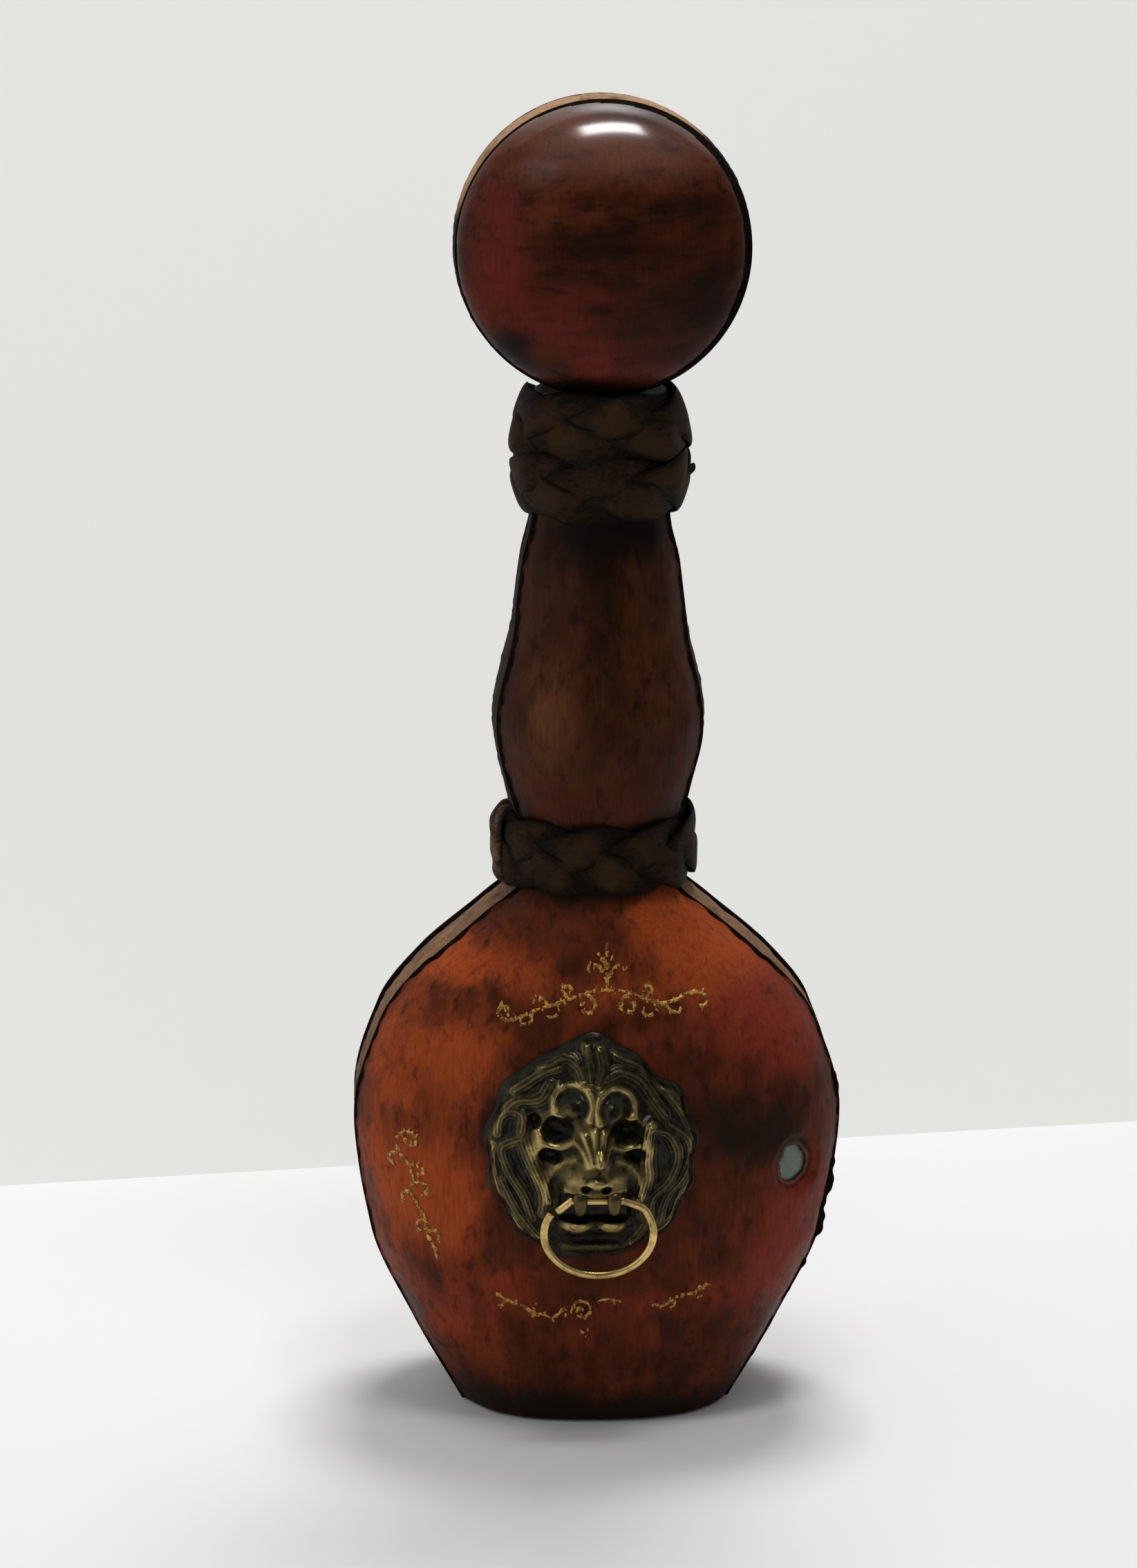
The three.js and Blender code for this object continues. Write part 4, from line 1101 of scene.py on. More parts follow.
# Soft strips lie flatter, wider and thicker than the frame's plain ones, and press into the hide
SOFT_WIDTH = 1.42
SOFT_THICKNESS = 1.3
SOFT_EDGE = 0.7
SOFT_SWING = 0.8
SOFT_LIFT = 0.6
SOFT_TILT = 0.36
SOFT_SINK = 0.5
UPPER_COLLAR_ABOVE_MOUTH = 4.2
# The upper collar is drawn in at both ends and fullest in the middle
COLLAR_FULLNESS = 1.6
COLLAR_DRAWN_IN = 2.2
ROW_TURN = math.pi / 4
ROW_SPACING = 1.82
SECTION_SIDES = 15
STRAND_STEPS = 300
SEAT_STEPS = 72
# Waver of the hand-laid strips, how far they are rubbed and dyed, and how much painted shade darkens a strip
# where it dips under another
BROAD_WAVER = 0.35
FINE_WAVER = 0.2
CROWN_RUB = 0.42
CROWN_RUB_RIDING = 0.28
STRIP_EDGE_FROM = 0.82
CREASE_SHADE = 0.15


def softened(plait):
    shares = {"width": SOFT_WIDTH, "swing": SOFT_SWING, "lift": SOFT_LIFT, "lift_ripple": SOFT_LIFT,
              "tilt": SOFT_TILT, "tilt_ripple": SOFT_TILT}
    scaled = {key: plait[key] * share for key, share in shares.items()}
    return plait | scaled | {"thick": SOFT_THICKNESS, "edge": SOFT_EDGE}


def strip_section(plait, phase):
    """Section of a strip: arrays of distance out and height, and each point's place across the strip."""
    tilt = np.radians(plait["tilt"] * np.cos(phase) + plait["tilt_ripple"] * np.cos(3 * phase))
    reach = plait["width"] / 2 * np.hypot(1, STRIP_SLANT * np.cos(phase))
    across = np.sin(np.linspace(-1, 1, SECTION_SIDES) * math.pi / 2)
    half = plait["edge"] / 2 + (plait["thick"] - plait["edge"]) / 2 * (1 - across**4)
    half = half * np.sqrt(np.clip(1 - across**8, 0.12, 1))
    a = np.concatenate([half, -half[::-1]])
    share = np.concatenate([across, across[::-1]])
    b = share * reach[..., None]
    tilt = tilt[..., None]
    out = plait["lift"] * np.sin(2 * phase) + plait["lift_ripple"] * np.sin(4 * phase)
    up = plait["swing"] * np.sin(phase)
    return (out[..., None] + a * np.cos(tilt) + b * np.sin(tilt),
            up[..., None] + b * np.cos(tilt) - a * np.sin(tilt), share)


def plait_seat(plait, height):
    out, up, _ = strip_section(plait, full_turn(SEAT_STEPS))
    return float(np.max(leather_radius(height + up) + GAP - out))


def plait_reach(plait):
    return float(np.max(strip_section(plait, np.linspace(0, 2 * math.pi, 2 * SEAT_STEPS))[1]))


def strand(name, plait, height, number, turn, barrel=None):
    """One strip of a plait; a barrel is the middle and half height of a collar that bulges."""
    angle = full_turn(STRAND_STEPS)
    phase = plait["waves"] * (angle + turn) + 2 * math.pi * number / STRANDS
    out, up, share = strip_section(softened(plait), phase)
    turned = angle[:, None]
    up = up + BROAD_WAVER * np.sin(5 * turned + 2 * number + 9 * turn)
    up = up + FINE_WAVER * np.sin(11 * turned + number)
    radius = plait_seat(plait, height) - SOFT_SINK + out
    if barrel is not None:
        from_middle = ((height + up - barrel[0]) / barrel[1]) ** 2
        radius = radius + COLLAR_FULLNESS - (COLLAR_FULLNESS + COLLAR_DRAWN_IN) * from_middle
    points = np.stack([radius * np.cos(turned), radius * np.sin(turned), height + up], -1)
    share = np.broadcast_to(share, out.shape)
    outer = out - out.mean(axis=1, keepdims=True) > 0
    riding = np.sin(2 * phase)[:, None]
    crown = np.where(outer, (1 - share**4) * (CROWN_RUB + CROWN_RUB_RIDING * riding), 0)
    # Black dye along the strip's edges, and painted shade where it dips under another strip
    edge = smoothstep(np.abs(share), STRIP_EDGE_FROM, 1.0) + np.clip(-riding, 0, 1) * CREASE_SHADE
    return add_piece(name, points, torus_faces(STRAND_STEPS, 2 * SECTION_SIDES), plait_leather, "bottle",
                     "plait_leather", (name.removesuffix("_strip"),), {"crown": crown, "edge": edge})


upper_reach = plait_reach(UPPER_PLAIT)
top_row = MOUTH_HEIGHT + UPPER_COLLAR_ABOVE_MOUTH - upper_reach
bottom_row = top_row - ROW_SPACING * upper_reach
collar = ((top_row + bottom_row) / 2, 2 * upper_reach + GAP)
for number in range(STRANDS):
    strand(f"lower_plait_strand_{number + 1}_strip", LOWER_PLAIT, WAIST_HEIGHT, number, 0)
    strand(f"upper_plait_bottom_strand_{number + 1}_strip", UPPER_PLAIT, bottom_row, number, 0, collar)
    strand(f"upper_plait_top_strand_{number + 1}_strip", UPPER_PLAIT, top_row, number, ROW_TURN, collar)


# Loose end of a strip that stands out of the upper collar at the right
LOOSE_END_ANGLE = math.radians(-14)
LOOSE_END_LENGTH = 4.6
LOOSE_END_WIDTH = 3.4
LOOSE_END_THICKNESS = 1.1
LOOSE_END_LIFT = 0.4
LOOSE_END_STANDS_OUT = 2.2
LOOSE_END_ABOVE_ROW = 1.5
LOOSE_END_RISE = 1.4
LOOSE_END_NARROWS = 0.35
LOOSE_END_CROWN = 0.4


def loose_end():
    t = np.linspace(0, 1, 9)[:, None]
    turn = full_turn(16)[None, :]
    half = LOOSE_END_WIDTH / 2 * (1 - LOOSE_END_NARROWS * t**2)
    r = plait_seat(UPPER_PLAIT, bottom_row) + LOOSE_END_LIFT + LOOSE_END_STANDS_OUT * t**1.5 \
        + LOOSE_END_THICKNESS / 2 * np.sin(turn)
    angle = LOOSE_END_ANGLE + LOOSE_END_LENGTH * t / r
    height = bottom_row + LOOSE_END_ABOVE_ROW + LOOSE_END_RISE * t + half * np.cos(turn)
    points = np.stack(np.broadcast_arrays(r * np.cos(angle), r * np.sin(angle), height), -1)
    return add_piece("upper_plait_loose_end", points, capped_tube(*points.shape[:2]), plait_leather, "bottle",
                     "plait_leather", fields={"crown": np.full(points.shape[:2], LOOSE_END_CROWN)})


loose_end()


# Keeper that closes the lower plait at the left: turns of a narrow strip, each with its offset and lean

KEEPER_ANGLE = math.radians(187)
KEEPER_BAND = 3.6
KEEPER_THICKNESS = 2.3
KEEPER_TURNS = ((-2.2, -14), (0.3, 9), (2.4, -4))
KEEPER_SQUARENESS = 2.8
KEEPER_OVERHANG = 0.2
KEEPER_LIFT = 0.4
KEEPER_WRAP = 0.72
KEEPER_STEPS = 40
KEEPER_SIDES = 20
CREASE_ALONG = 0.2
CREASE_ACROSS = 0.22
KEEPER_DULL = 0.1
KEEPER_RUB = 0.6
KEEPER_RUB_FROM = 0.6


def keeper():
    half = plait_reach(LOWER_PLAIT) + KEEPER_OVERHANG
    out, _, _ = strip_section(softened(LOWER_PLAIT), np.linspace(0, 2 * math.pi, SEAT_STEPS))
    neck = float(leather_radius(WAIST_HEIGHT))
    outer = plait_seat(LOWER_PLAIT, WAIST_HEIGHT) - SOFT_SINK + float(out.max()) + KEEPER_LIFT
    t = np.linspace(-KEEPER_WRAP, KEEPER_WRAP, KEEPER_STEPS) * math.pi
    power = 2 / KEEPER_SQUARENESS
    path = np.stack([(outer + neck) / 2 + (outer - neck) / 2 * signed_power(np.cos(t), power),
                     half * signed_power(np.sin(t), power)], -1)
    side = full_turn(KEEPER_SIDES)
    points, faces, crown = [], [], []
    for number, (offset, lean) in enumerate(KEEPER_TURNS):
        faces += capped_tube(KEEPER_STEPS, KEEPER_SIDES, number * KEEPER_STEPS * KEEPER_SIDES)
        for i, (place, normal) in enumerate(zip(path, right_of(path))):
            crease = 1 + CREASE_ALONG * math.sin(i * 0.62 + 2.1 * number) \
                + CREASE_ACROSS * np.sin(2 * side + i * 0.45 + number)
            thick = KEEPER_THICKNESS / 2 * np.sin(side) * crease
            across = KEEPER_BAND / 2 * np.cos(side) + offset + place[1] * math.tan(math.radians(lean))
            r = place[0] + normal[0] * thick
            angle = KEEPER_ANGLE + across / outer
            height = WAIST_HEIGHT + place[1] + normal[1] * thick
            points.append(np.stack([r * np.cos(angle), r * np.sin(angle), height], -1))
            crown.append(KEEPER_DULL + KEEPER_RUB * np.clip(np.sin(side), 0, 1) * (crease - KEEPER_RUB_FROM))
    return add_piece("plait_keeper_loop", np.concatenate(points), faces, keeper_leather, "bottle",
                     "keeper_leather", ("plait_keeper",), {"crown": np.concatenate(crown)})


keeper()


# Stopper

flange_top = MOUTH_HEIGHT + GAP + FLANGE_THICKNESS
stopper_centre = flange_top + GAP + STOPPER_RADIUS
rim_half = STOPPER_RIM_WIDTH / 2
dome_rise = STOPPER_DEPTH / 2 - rim_half
DISC_SEGMENTS = 160
DOME_STEPS = 64

# Patches on the stopper's front, across and up from its centre: the warm patches and the mottling in the
# middle are dye, the light patches on the upper half are painted light round the highlight, and the dark
# patches along the bottom and on the right are painted shade
STOPPER_DYE_AND_PAINTED_LIGHT = {
    "light": [(-2, 26, 24, 7, 0.60), (16, 18, 14, 6, 0.40), (-18, 16, 12, 5, 0.40), (2, 9, 26, 3, 0.25)],
    "warm": [(-26, -4, 9, 13, 0.75), (-12, -17, 15, 7, 0.60), (-3, -26, 5, 5, 0.80), (10, -27, 12, 5, 0.45),
             (-24, 13, 8, 6, 0.50), (-6, -9, 12, 3, 0.35)],
    "dark": [(-5, 3, 13, 6, 0.45), (-23, -23, 7, 6, 1.00), (-7, -32, 8, 4, 0.95), (10, -33, 12, 3, 0.80),
             (6, -4, 10, 8, 0.35), (26, -6, 8, 18, 0.50), (14, 11, 10, 4, 0.40), (14, -12, 10, 6, 0.35)],
}


def dome_profile(inset):
    power = 2 / STOPPER_DOME_SQUARENESS
    t = np.linspace(0, math.pi / 2, DOME_STEPS)
    across = np.cos(t) ** power
    across[-1] = 0
    out = rim_half + (dome_rise - inset) * np.sin(t) ** power
    return np.stack([(STOPPER_RADIUS - inset) * across, out], -1)


# The upper part of the discs is rubbed with wax
WAX_FROM = 14
WAX_FULL = 26
WAX_MIDDLE = 2
WAX_NEAR = 12
WAX_FAR = 28


# Black edge of a disc: its width, which grows to the right and shrinks to the top, its waver and its fade
DISC_CORNER = 0.7
DISC_DYE = 5.2
DISC_DYE_RIGHT = 2.0
DISC_DYE_TOP = 1.1
DISC_DYE_UNEVENNESS = 0.3
DISC_DYE_WAVE = 1.3
DISC_DYE_FULL = 0.4
DISC_DYE_GONE = 0.7


def stopper_disc(name, side):
    profile = dome_profile(0)
    from_edge = lengths_along(profile)
    outer = profile - right_of(profile) * corner_drop(from_edge, DISC_CORNER)[:, None]
    outer[-1, 0] = 0
    inner = dome_profile(STOPPER_LEATHER)
    points = lathe_points(np.vstack([outer, inner[::-1]]), DISC_SEGMENTS, "Y")
    points[..., 1] *= side
    x, z = points[..., 0], points[..., 2]
    fields = dye_and_light_patches(STOPPER_DYE_AND_PAINTED_LIGHT, -side * x, z)
    around = np.arctan2(z, x)[:, :1]
    round_to_front = around if side < 0 else math.pi - around
    dyed = DISC_DYE + DISC_DYE_RIGHT * np.cos(round_to_front) - DISC_DYE_TOP * np.sin(round_to_front)
    dyed = dyed + DISC_DYE_UNEVENNESS * ripple(71, DISC_DYE_WAVE, round_to_front)
    edge = 1 - smoothstep(from_edge[None, :], dyed - DISC_DYE_FULL, dyed + DISC_DYE_GONE)
    fields["edge"] = np.concatenate([edge, edge[:, ::-1]], axis=1)
    from_middle = np.abs(-side * x - WAX_MIDDLE)
    fields["waxed"] = smoothstep(z, WAX_FROM, WAX_FULL) * (1 - smoothstep(from_middle, WAX_NEAR, WAX_FAR))
    points[..., 2] += stopper_centre
    return add_piece(name, points, torus_faces(DISC_SEGMENTS, 2 * DOME_STEPS), stopper_leather, "stopper",
                     "stopper_leather", (name_of_node(name),), fields, edge_dye)


# The rim is bare from its right shoulder over the top to the left, and dyed black below
RIM_BARE_MIDDLE = math.radians(108)
RIM_BARE_ENDS = 0.35
RIM_BARE_FULL = 0.6
RIM_STEPS = 220
RIM_COLUMNS = 20
RIM_UNEVENNESS = 0.12
RIM_WAVE = 5
RIM_EDGE_FROM = 0.86
RIM_EDGE_DYE = 0.7
RIM_DYE = 0.95


def stopper_rim():
    inner = STOPPER_RADIUS - STOPPER_LEATHER
    outer = STOPPER_RADIUS - RIM_SINK
    half = rim_half - GAP
    opening = math.asin((SPIGOT_RADIUS + GAP) / inner)
    angle = np.linspace(-math.pi / 2 + opening, 1.5 * math.pi - opening, RIM_STEPS)[:, None]
    across = np.linspace(-1, 1, RIM_COLUMNS)
    uneven = RIM_UNEVENNESS * ripple(81, RIM_WAVE, across * half, angle * outer)
    crowned = outer + RIM_SWELL * (1 - across**4) + uneven
    grids = []
    for radius in (crowned, np.full_like(crowned, inner)):
        grids.append(np.stack([radius * np.cos(angle), np.broadcast_to(across * half, radius.shape),
                               stopper_centre + radius * np.sin(angle)], -1))
    bare = smoothstep(np.cos(angle - RIM_BARE_MIDDLE), RIM_BARE_ENDS, RIM_BARE_FULL)
    edge = np.maximum(smoothstep(np.abs(across), RIM_EDGE_FROM, 1.0) * RIM_EDGE_DYE, (1 - bare) * RIM_DYE)
    dark = np.broadcast_to(1 - bare, crowned.shape)
    return add_piece("stopper_rim_strip_hide", np.concatenate(grids), sheet_faces(RIM_STEPS, RIM_COLUMNS),
                     rim_leather, "stopper", "rim_leather", ("stopper_rim_strip",),
                     on_both_grids({"edge": edge, "dark": dark}))


CORNER_STEPS = 5
CORNER_LIMIT = 0.45


def rounded_profile(corners, radius):
    """Closed profile with each corner turned by a short curve."""
    corners = np.asarray(corners, float)
    points = []
    for before, corner, after in zip(np.roll(corners, 1, 0), corners, np.roll(corners, -1, 0)):
        ends = []
        for other in (before, after):
            reach = np.linalg.norm(other - corner)
            ends.append(corner + (other - corner) / reach * min(radius, reach * CORNER_LIMIT))
        for t in np.linspace(0, 1, CORNER_STEPS):
            points.append((1 - t) ** 2 * ends[0] + 2 * t * (1 - t) * corner + t * t * ends[1])
    return np.array(points)


def turned_piece(name, corners, radius, material, slot, uneven, node):
    profile = rounded_profile(corners, radius)
    points = lathe_points(profile, DISC_SEGMENTS)
    around = np.arctan2(points[..., 1], points[..., 0])
    grow = 1 + uneven / FLANGE_RADIUS * ripple(91, 2.4, around * 3, points[..., 2])
    points[..., :2] *= grow[..., None]
    faces = torus_faces(DISC_SEGMENTS, len(profile))
    return add_piece(name, points, faces, material, "stopper", slot, (node,))


bore_side = SPIGOT_RADIUS + GAP
cork_bottom = MOUTH_HEIGHT - CORK_LENGTH
cork_top = BORE_RADIUS - GAP
stopper_disc("stopper_front_disc_hide", -1)
stopper_disc("stopper_back_disc_hide", 1)
stopper_rim()
turned_piece("stopper_flange_ring",
             [(bore_side, MOUTH_HEIGHT + GAP), (FLANGE_RADIUS, MOUTH_HEIGHT + GAP),
              (FLANGE_RADIUS, flange_top + FLANGE_LIP), (FLANGE_RADIUS - FLANGE_LIP_WIDTH, flange_top),
              (bore_side, flange_top)], 0.9, dark_leather, "dark_leather", 0.1, "stopper_flange")
turned_piece("stopper_cork_bung",
             [(bore_side, cork_bottom), (cork_top - CORK_TAPER, cork_bottom), (cork_top, MOUTH_HEIGHT),
              (bore_side, MOUTH_HEIGHT)], 0.8, cork, "cork", 0.06, "stopper_cork")
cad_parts["stopper_core"].data.materials.clear()
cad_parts["stopper_core"].data.materials.append(beech)


# Lion mask

# Crests of the mane, across and up from the mask's centre
MANE_LEFT = [
    [(-18.2, 3.6), (-22.2, 0.7), (-20.5, -5), (-17, -10.8), (-15, -16.5)],
    [(-17.7, 3.6), (-16, -1.2), (-13.6, -6.5), (-12.4, -10.8), (-12.6, -15)],
    [(-24.2, 1.2), (-25, -2.2), (-23.6, -7.9), (-21.5, -14.1), (-17.8, -19.4)],
    [(-22.2, -7.4), (-19.2, -13.7), (-15.6, -18.9), (-13.2, -22)],
    [(-23.2, 4.5), (-22.8, 8.1), (-20.2, 10.1), (-17.4, 9.3), (-17.7, 5.5)],
    [(-21.6, 9.8), (-18.2, 12.7), (-13.4, 13.7), (-10.9, 17)],
    [(-19.2, 14.6), (-16.2, 16.5), (-11.9, 19.4), (-8.6, 20.6)],
    [(-13.6, 20.2), (-10.5, 21), (-6.7, 22.6), (-3.8, 21)],
    [(-7.4, 23.6), (-4.7, 22.4), (-2.6, 18.6)],
    [(-2.3, 26.6), (-1.6, 23), (-0.9, 18)],
]
MANE_RIGHT = [
    [(1.4, 24.4), (2.2, 20.8), (1, 17.4)],
    [(2.7, 18.7), (6.3, 19.9), (10.6, 18), (13.9, 13.9), (17.3, 9.3)],
    [(5.6, 23), (11, 20.6), (15.9, 16), (20, 11.3), (22.9, 6)],
    [(11, 21.4), (16.4, 17.6), (20.6, 13)],
    [(13.9, 6.5), (18.2, 4.6), (20.4, -1.2), (18, -7.4), (13.9, -11.3), (13.5, -16.5)],
    [(13.5, 5.5), (12.9, -0.2), (13.2, -5.5), (12, -10.3)],
    [(17.8, 7.4), (22.4, 3.6), (23.6, -1.2), (21.6, -6.5), (17.4, -11.7), (15.9, -18)],
    [(23, -7.4), (21, -12.2), (19.2, -17), (15.8, -20)],
    [(11.8, -13), (12.6, -18), (9.6, -23)],
]
# Lids, cheeks, nose and lips
FACE_CRESTS = [
    [(-13.8, 6.2), (-11.8, 3.4), (-8.4, 2.6), (-5.4, 4.0)],
    [(4.0, 4.0), (6.6, 2.4), (9.8, 2.6), (12.4, 4.8), (13.7, 7.6)],
    [(-11.2, -11.4), (-11.7, -7.4), (-10.8, -4.2), (-8.2, -1.2), (-5.0, 0.4)],
    [(5.4, 0.4), (8.4, -1.2), (10.3, -4.4), (11, -8), (10.8, -11.6)],
    [(-5.0, 4.2), (-3.2, 2.4), (-1.6, -0.4)],
    [(-2.9, 5.8), (-1.8, 3.2), (-0.8, 0)],
    [(-0.3, 6.8), (0, 3.4), (0.3, 0.2)],
    [(2.2, 6.2), (1.6, 3.2), (1.2, 0.2)],
    [(4.4, 4.4), (3, 2.4), (1.9, 0)],
    [(-7, -8), (-3, -8.5), (0.4, -8.6), (4, -8.5), (7.2, -8)],
]
# Round forms of the face: across, up, half width, half height, rise and polish; the polish of the streak
# beside the nose bridge is a painted highlight
FACE_FORMS = [
    (-5.0, 12.4, 2.9, 2.9, 2.2, -0.60),
    (4.4, 11.2, 2.8, 2.8, 2.2, -0.60),
    (-9.0, 6.8, 3.2, 2.6, -3.4, -0.9),
    (7.9, 6.2, 3.1, 2.4, -3.4, -0.9),
    (-14.6, 8.2, 1.5, 1.4, -2.0, -0.7),
    (-10.8, 0.4, 2.6, 1.5, -1.8, -0.7),
    (9.8, 0.6, 2.4, 1.4, -1.6, -0.7),
    (-14.2, 2.6, 2.2, 3.0, 1.1, 0.30),
    (12.2, 2.0, 1.6, 2.6, 0.8, 0.30),
    (0.3, 3.4, 4.4, 6.0, 2.6, 0.10),
    (0.2, -4.4, 7.8, 5.8, 4.1, 0.02),
    (-4.4, -5.2, 3.2, 3.0, 1.0, 0.05),
    (4.8, -5.2, 3.2, 3.0, 1.0, 0.05),
    (0.2, -8.6, 8.0, 2.0, 0.0, -0.28),
    (0.3, -5.4, 2.0, 1.5, 1.8, 0.40),
    # Painted highlight: a bright streak on the right of the nose bridge
    (1.0, 0.4, 0.9, 2.4, 1.3, 0.75),
    (-2.3, -6.7, 1.0, 0.8, -1.8, -0.8),
    (2.6, -6.9, 1.0, 0.8, -1.8, -0.8),
    (-4.1, -18.2, 3.6, 2.3, 2.7, 0.20),
    (4.4, -18.2, 3.4, 2.3, 2.7, 0.20),
    (0.0, -22.0, 8.0, 1.6, -1.2, -0.7),
    (0.0, -24.6, 7.0, 1.6, 0.9, 0.0),
]
# Gold brows over the bosses: across, up, radius, and the degrees where each begins and ends
BROW_POLISH = 0.75
BROWS = [(-5.2, 12.4, 4.7, -35, 235), (5.0, 11.4, 4.7, -55, 210)]
# Where the outline swells or draws in: degrees round, spread and share
MASK_SHAPING = [(56, 19, -0.11), (117, 12, -0.06), (185, 45, 0.05), (240, 25, 0.05), (312, 18, 0.04)]
MOUTH_TOP, MOUTH_BOTTOM, MOUTH_HALF_WIDTH = -9.6, -16.2, 8.8
LOCK_HEIGHT = 2.0
LOCK_WIDTH = 2.2
HAIR_SPACING = 0.95
HAIR_HEIGHT = 0.2
CREST_WIDTH = 1.2
CREST_HEIGHT = 1.15
MASK_RINGS = 150
MASK_SPOKES = 380
MASK_BACK_RINGS = 4
MASK_GRID_STEP = 0.2
# Where the mane begins as shares of the outline, and how far it lies below the face
MANE_BEGINS = (0.5, 0.64)
MANE_SINK = 1.1
LOCKS_END = (0.92, 1.0)
CROWN_POWER = 2.6
HAIR_REACH = 2.6
FORM_POWER = 1.6
BROW_WIDTH = 0.8
MOUTH_FLOOR = 1.8
# Polish of plain metal, what ridges over a fine and a broad reach add, and what the mouth and mane take off
PLAIN_POLISH = 0.34
FINE_REACH = 0.5
FINE_POLISH = 1.0
BROAD_REACH = 1.8
BROAD_POLISH = 0.36
MOUTH_DULLS = 0.6
MANE_DULLS = 0.32
MANE_DULLS_FROM = (0.45, 0.85)


def mask_reach(angle):
    plain = 1 / np.hypot(np.cos(angle) / MASK_HALF_WIDTH, np.sin(angle) / MASK_HALF_HEIGHT)
    locks = MASK_LOCK_RELIEF / 2 * np.cos(MASK_LOCKS * (angle - math.pi / 2))
    shaped = 1
    for degrees, spread, share in MASK_SHAPING:
        away = np.remainder(angle - math.radians(degrees) + math.pi, 2 * math.pi) - math.pi
        shaped = shaped + share * hill(away, math.radians(spread))
    return plain * shaped + locks - MASK_LOCK_RELIEF / 2


def near_path(u, v, points):
    """Distance from a smooth path, for the places within a few millimetres of it."""
    path = smooth_path(points, 14)
    low, high = path.min(axis=0) - 6, path.max(axis=0) + 6
    near = (u > low[0]) & (u < high[0]) & (v > low[1]) & (v < high[1])
    gaps = np.hypot(u[near][:, None] - path[None, :, 0], v[near][:, None] - path[None, :, 1])
    away = np.full(u.shape, 99.0)
    away[near] = gaps.min(axis=1)
    return away


def arc_points(across, up, radius, start, end):
    turn = np.radians(np.linspace(start, end, 9))
    return np.stack([across + radius * np.cos(turn), up + radius * np.sin(turn)], -1)


def blurred(field, reach):
    """The field softened over a reach, both given on the mask's grid."""
    steps = np.arange(-3 * reach, 3 * reach + MASK_GRID_STEP, MASK_GRID_STEP)
    weights = np.exp(-0.5 * (steps / reach) ** 2)
    weights /= weights.sum()
    for axis in (0, 1):
        field = np.apply_along_axis(np.convolve, axis, field, weights, "same")
    return field


def mask_relief(u, v):
    """Height above the leather and polish over a grid of places on the mask."""
    share = np.hypot(u, v) / mask_reach(np.arctan2(v, u))
    mane = smoothstep(share, *MANE_BEGINS)
    inner = np.clip(share, 0, 1)
    relief = MASK_RIM + MASK_CROWN * (1 - inner**CROWN_POWER) - MANE_SINK * mane
    locks = np.zeros_like(u)
    for crest in MANE_LEFT + MANE_RIGHT:
        away = near_path(u, v, crest)
        hairs = HAIR_HEIGHT * np.cos(2 * math.pi * away / HAIR_SPACING) * hill(away, HAIR_REACH)
        locks = np.maximum(locks, LOCK_HEIGHT * hill(away, LOCK_WIDTH) + hairs)
    relief = relief + locks * (1 - smoothstep(share, *LOCKS_END))
    brows = [arc_points(*brow) for brow in BROWS]
    crests = np.zeros_like(u)
    for crest in FACE_CRESTS + brows:
        crests = np.maximum(crests, CREST_HEIGHT * hill(near_path(u, v, crest), CREST_WIDTH))
    relief = relief + crests
    tint = np.zeros_like(u)
    for brow in brows:
        tint = np.maximum(tint, BROW_POLISH * hill(near_path(u, v, brow), BROW_WIDTH))
    for across, up, wide, high, rise, shine in FACE_FORMS:
        form = np.exp(-(((u - across) / wide) ** 2 + ((v - up) / high) ** 2) ** FORM_POWER)
        relief = relief + rise * form
        tint = tint + shine * form
    fine = relief - blurred(relief, FINE_REACH)
    broad = relief - blurred(relief, BROAD_REACH)
    inside = (1 - smoothstep(np.abs(u), MOUTH_HALF_WIDTH - 1, MOUTH_HALF_WIDTH)) \
        * smoothstep(v, MOUTH_BOTTOM - 0.8, MOUTH_BOTTOM + 0.4) \
        * (1 - smoothstep(v, MOUTH_TOP - 0.4, MOUTH_TOP + 0.4))
    relief = relief * (1 - inside) + (MASK_RIM + MOUTH_FLOOR) * inside
    polish = PLAIN_POLISH + FINE_POLISH * fine + BROAD_POLISH * broad + tint - MOUTH_DULLS * inside
    polish = polish - MANE_DULLS * smoothstep(share, *MANE_DULLS_FROM)
    return relief, np.clip(polish, 0, 1)


def sampled(grid, u, v, low_u, low_v):
    """Values of a grid between its points."""
    a = (u - low_u) / MASK_GRID_STEP
    b = (v - low_v) / MASK_GRID_STEP
    i = np.clip(a.astype(int), 0, grid.shape[1] - 2)
    j = np.clip(b.astype(int), 0, grid.shape[0] - 2)
    a, b = a - i, b - j
    low = grid[j, i] * (1 - a) + grid[j, i + 1] * a
    high = grid[j + 1, i] * (1 - a) + grid[j + 1, i + 1] * a
    return low * (1 - b) + high * b


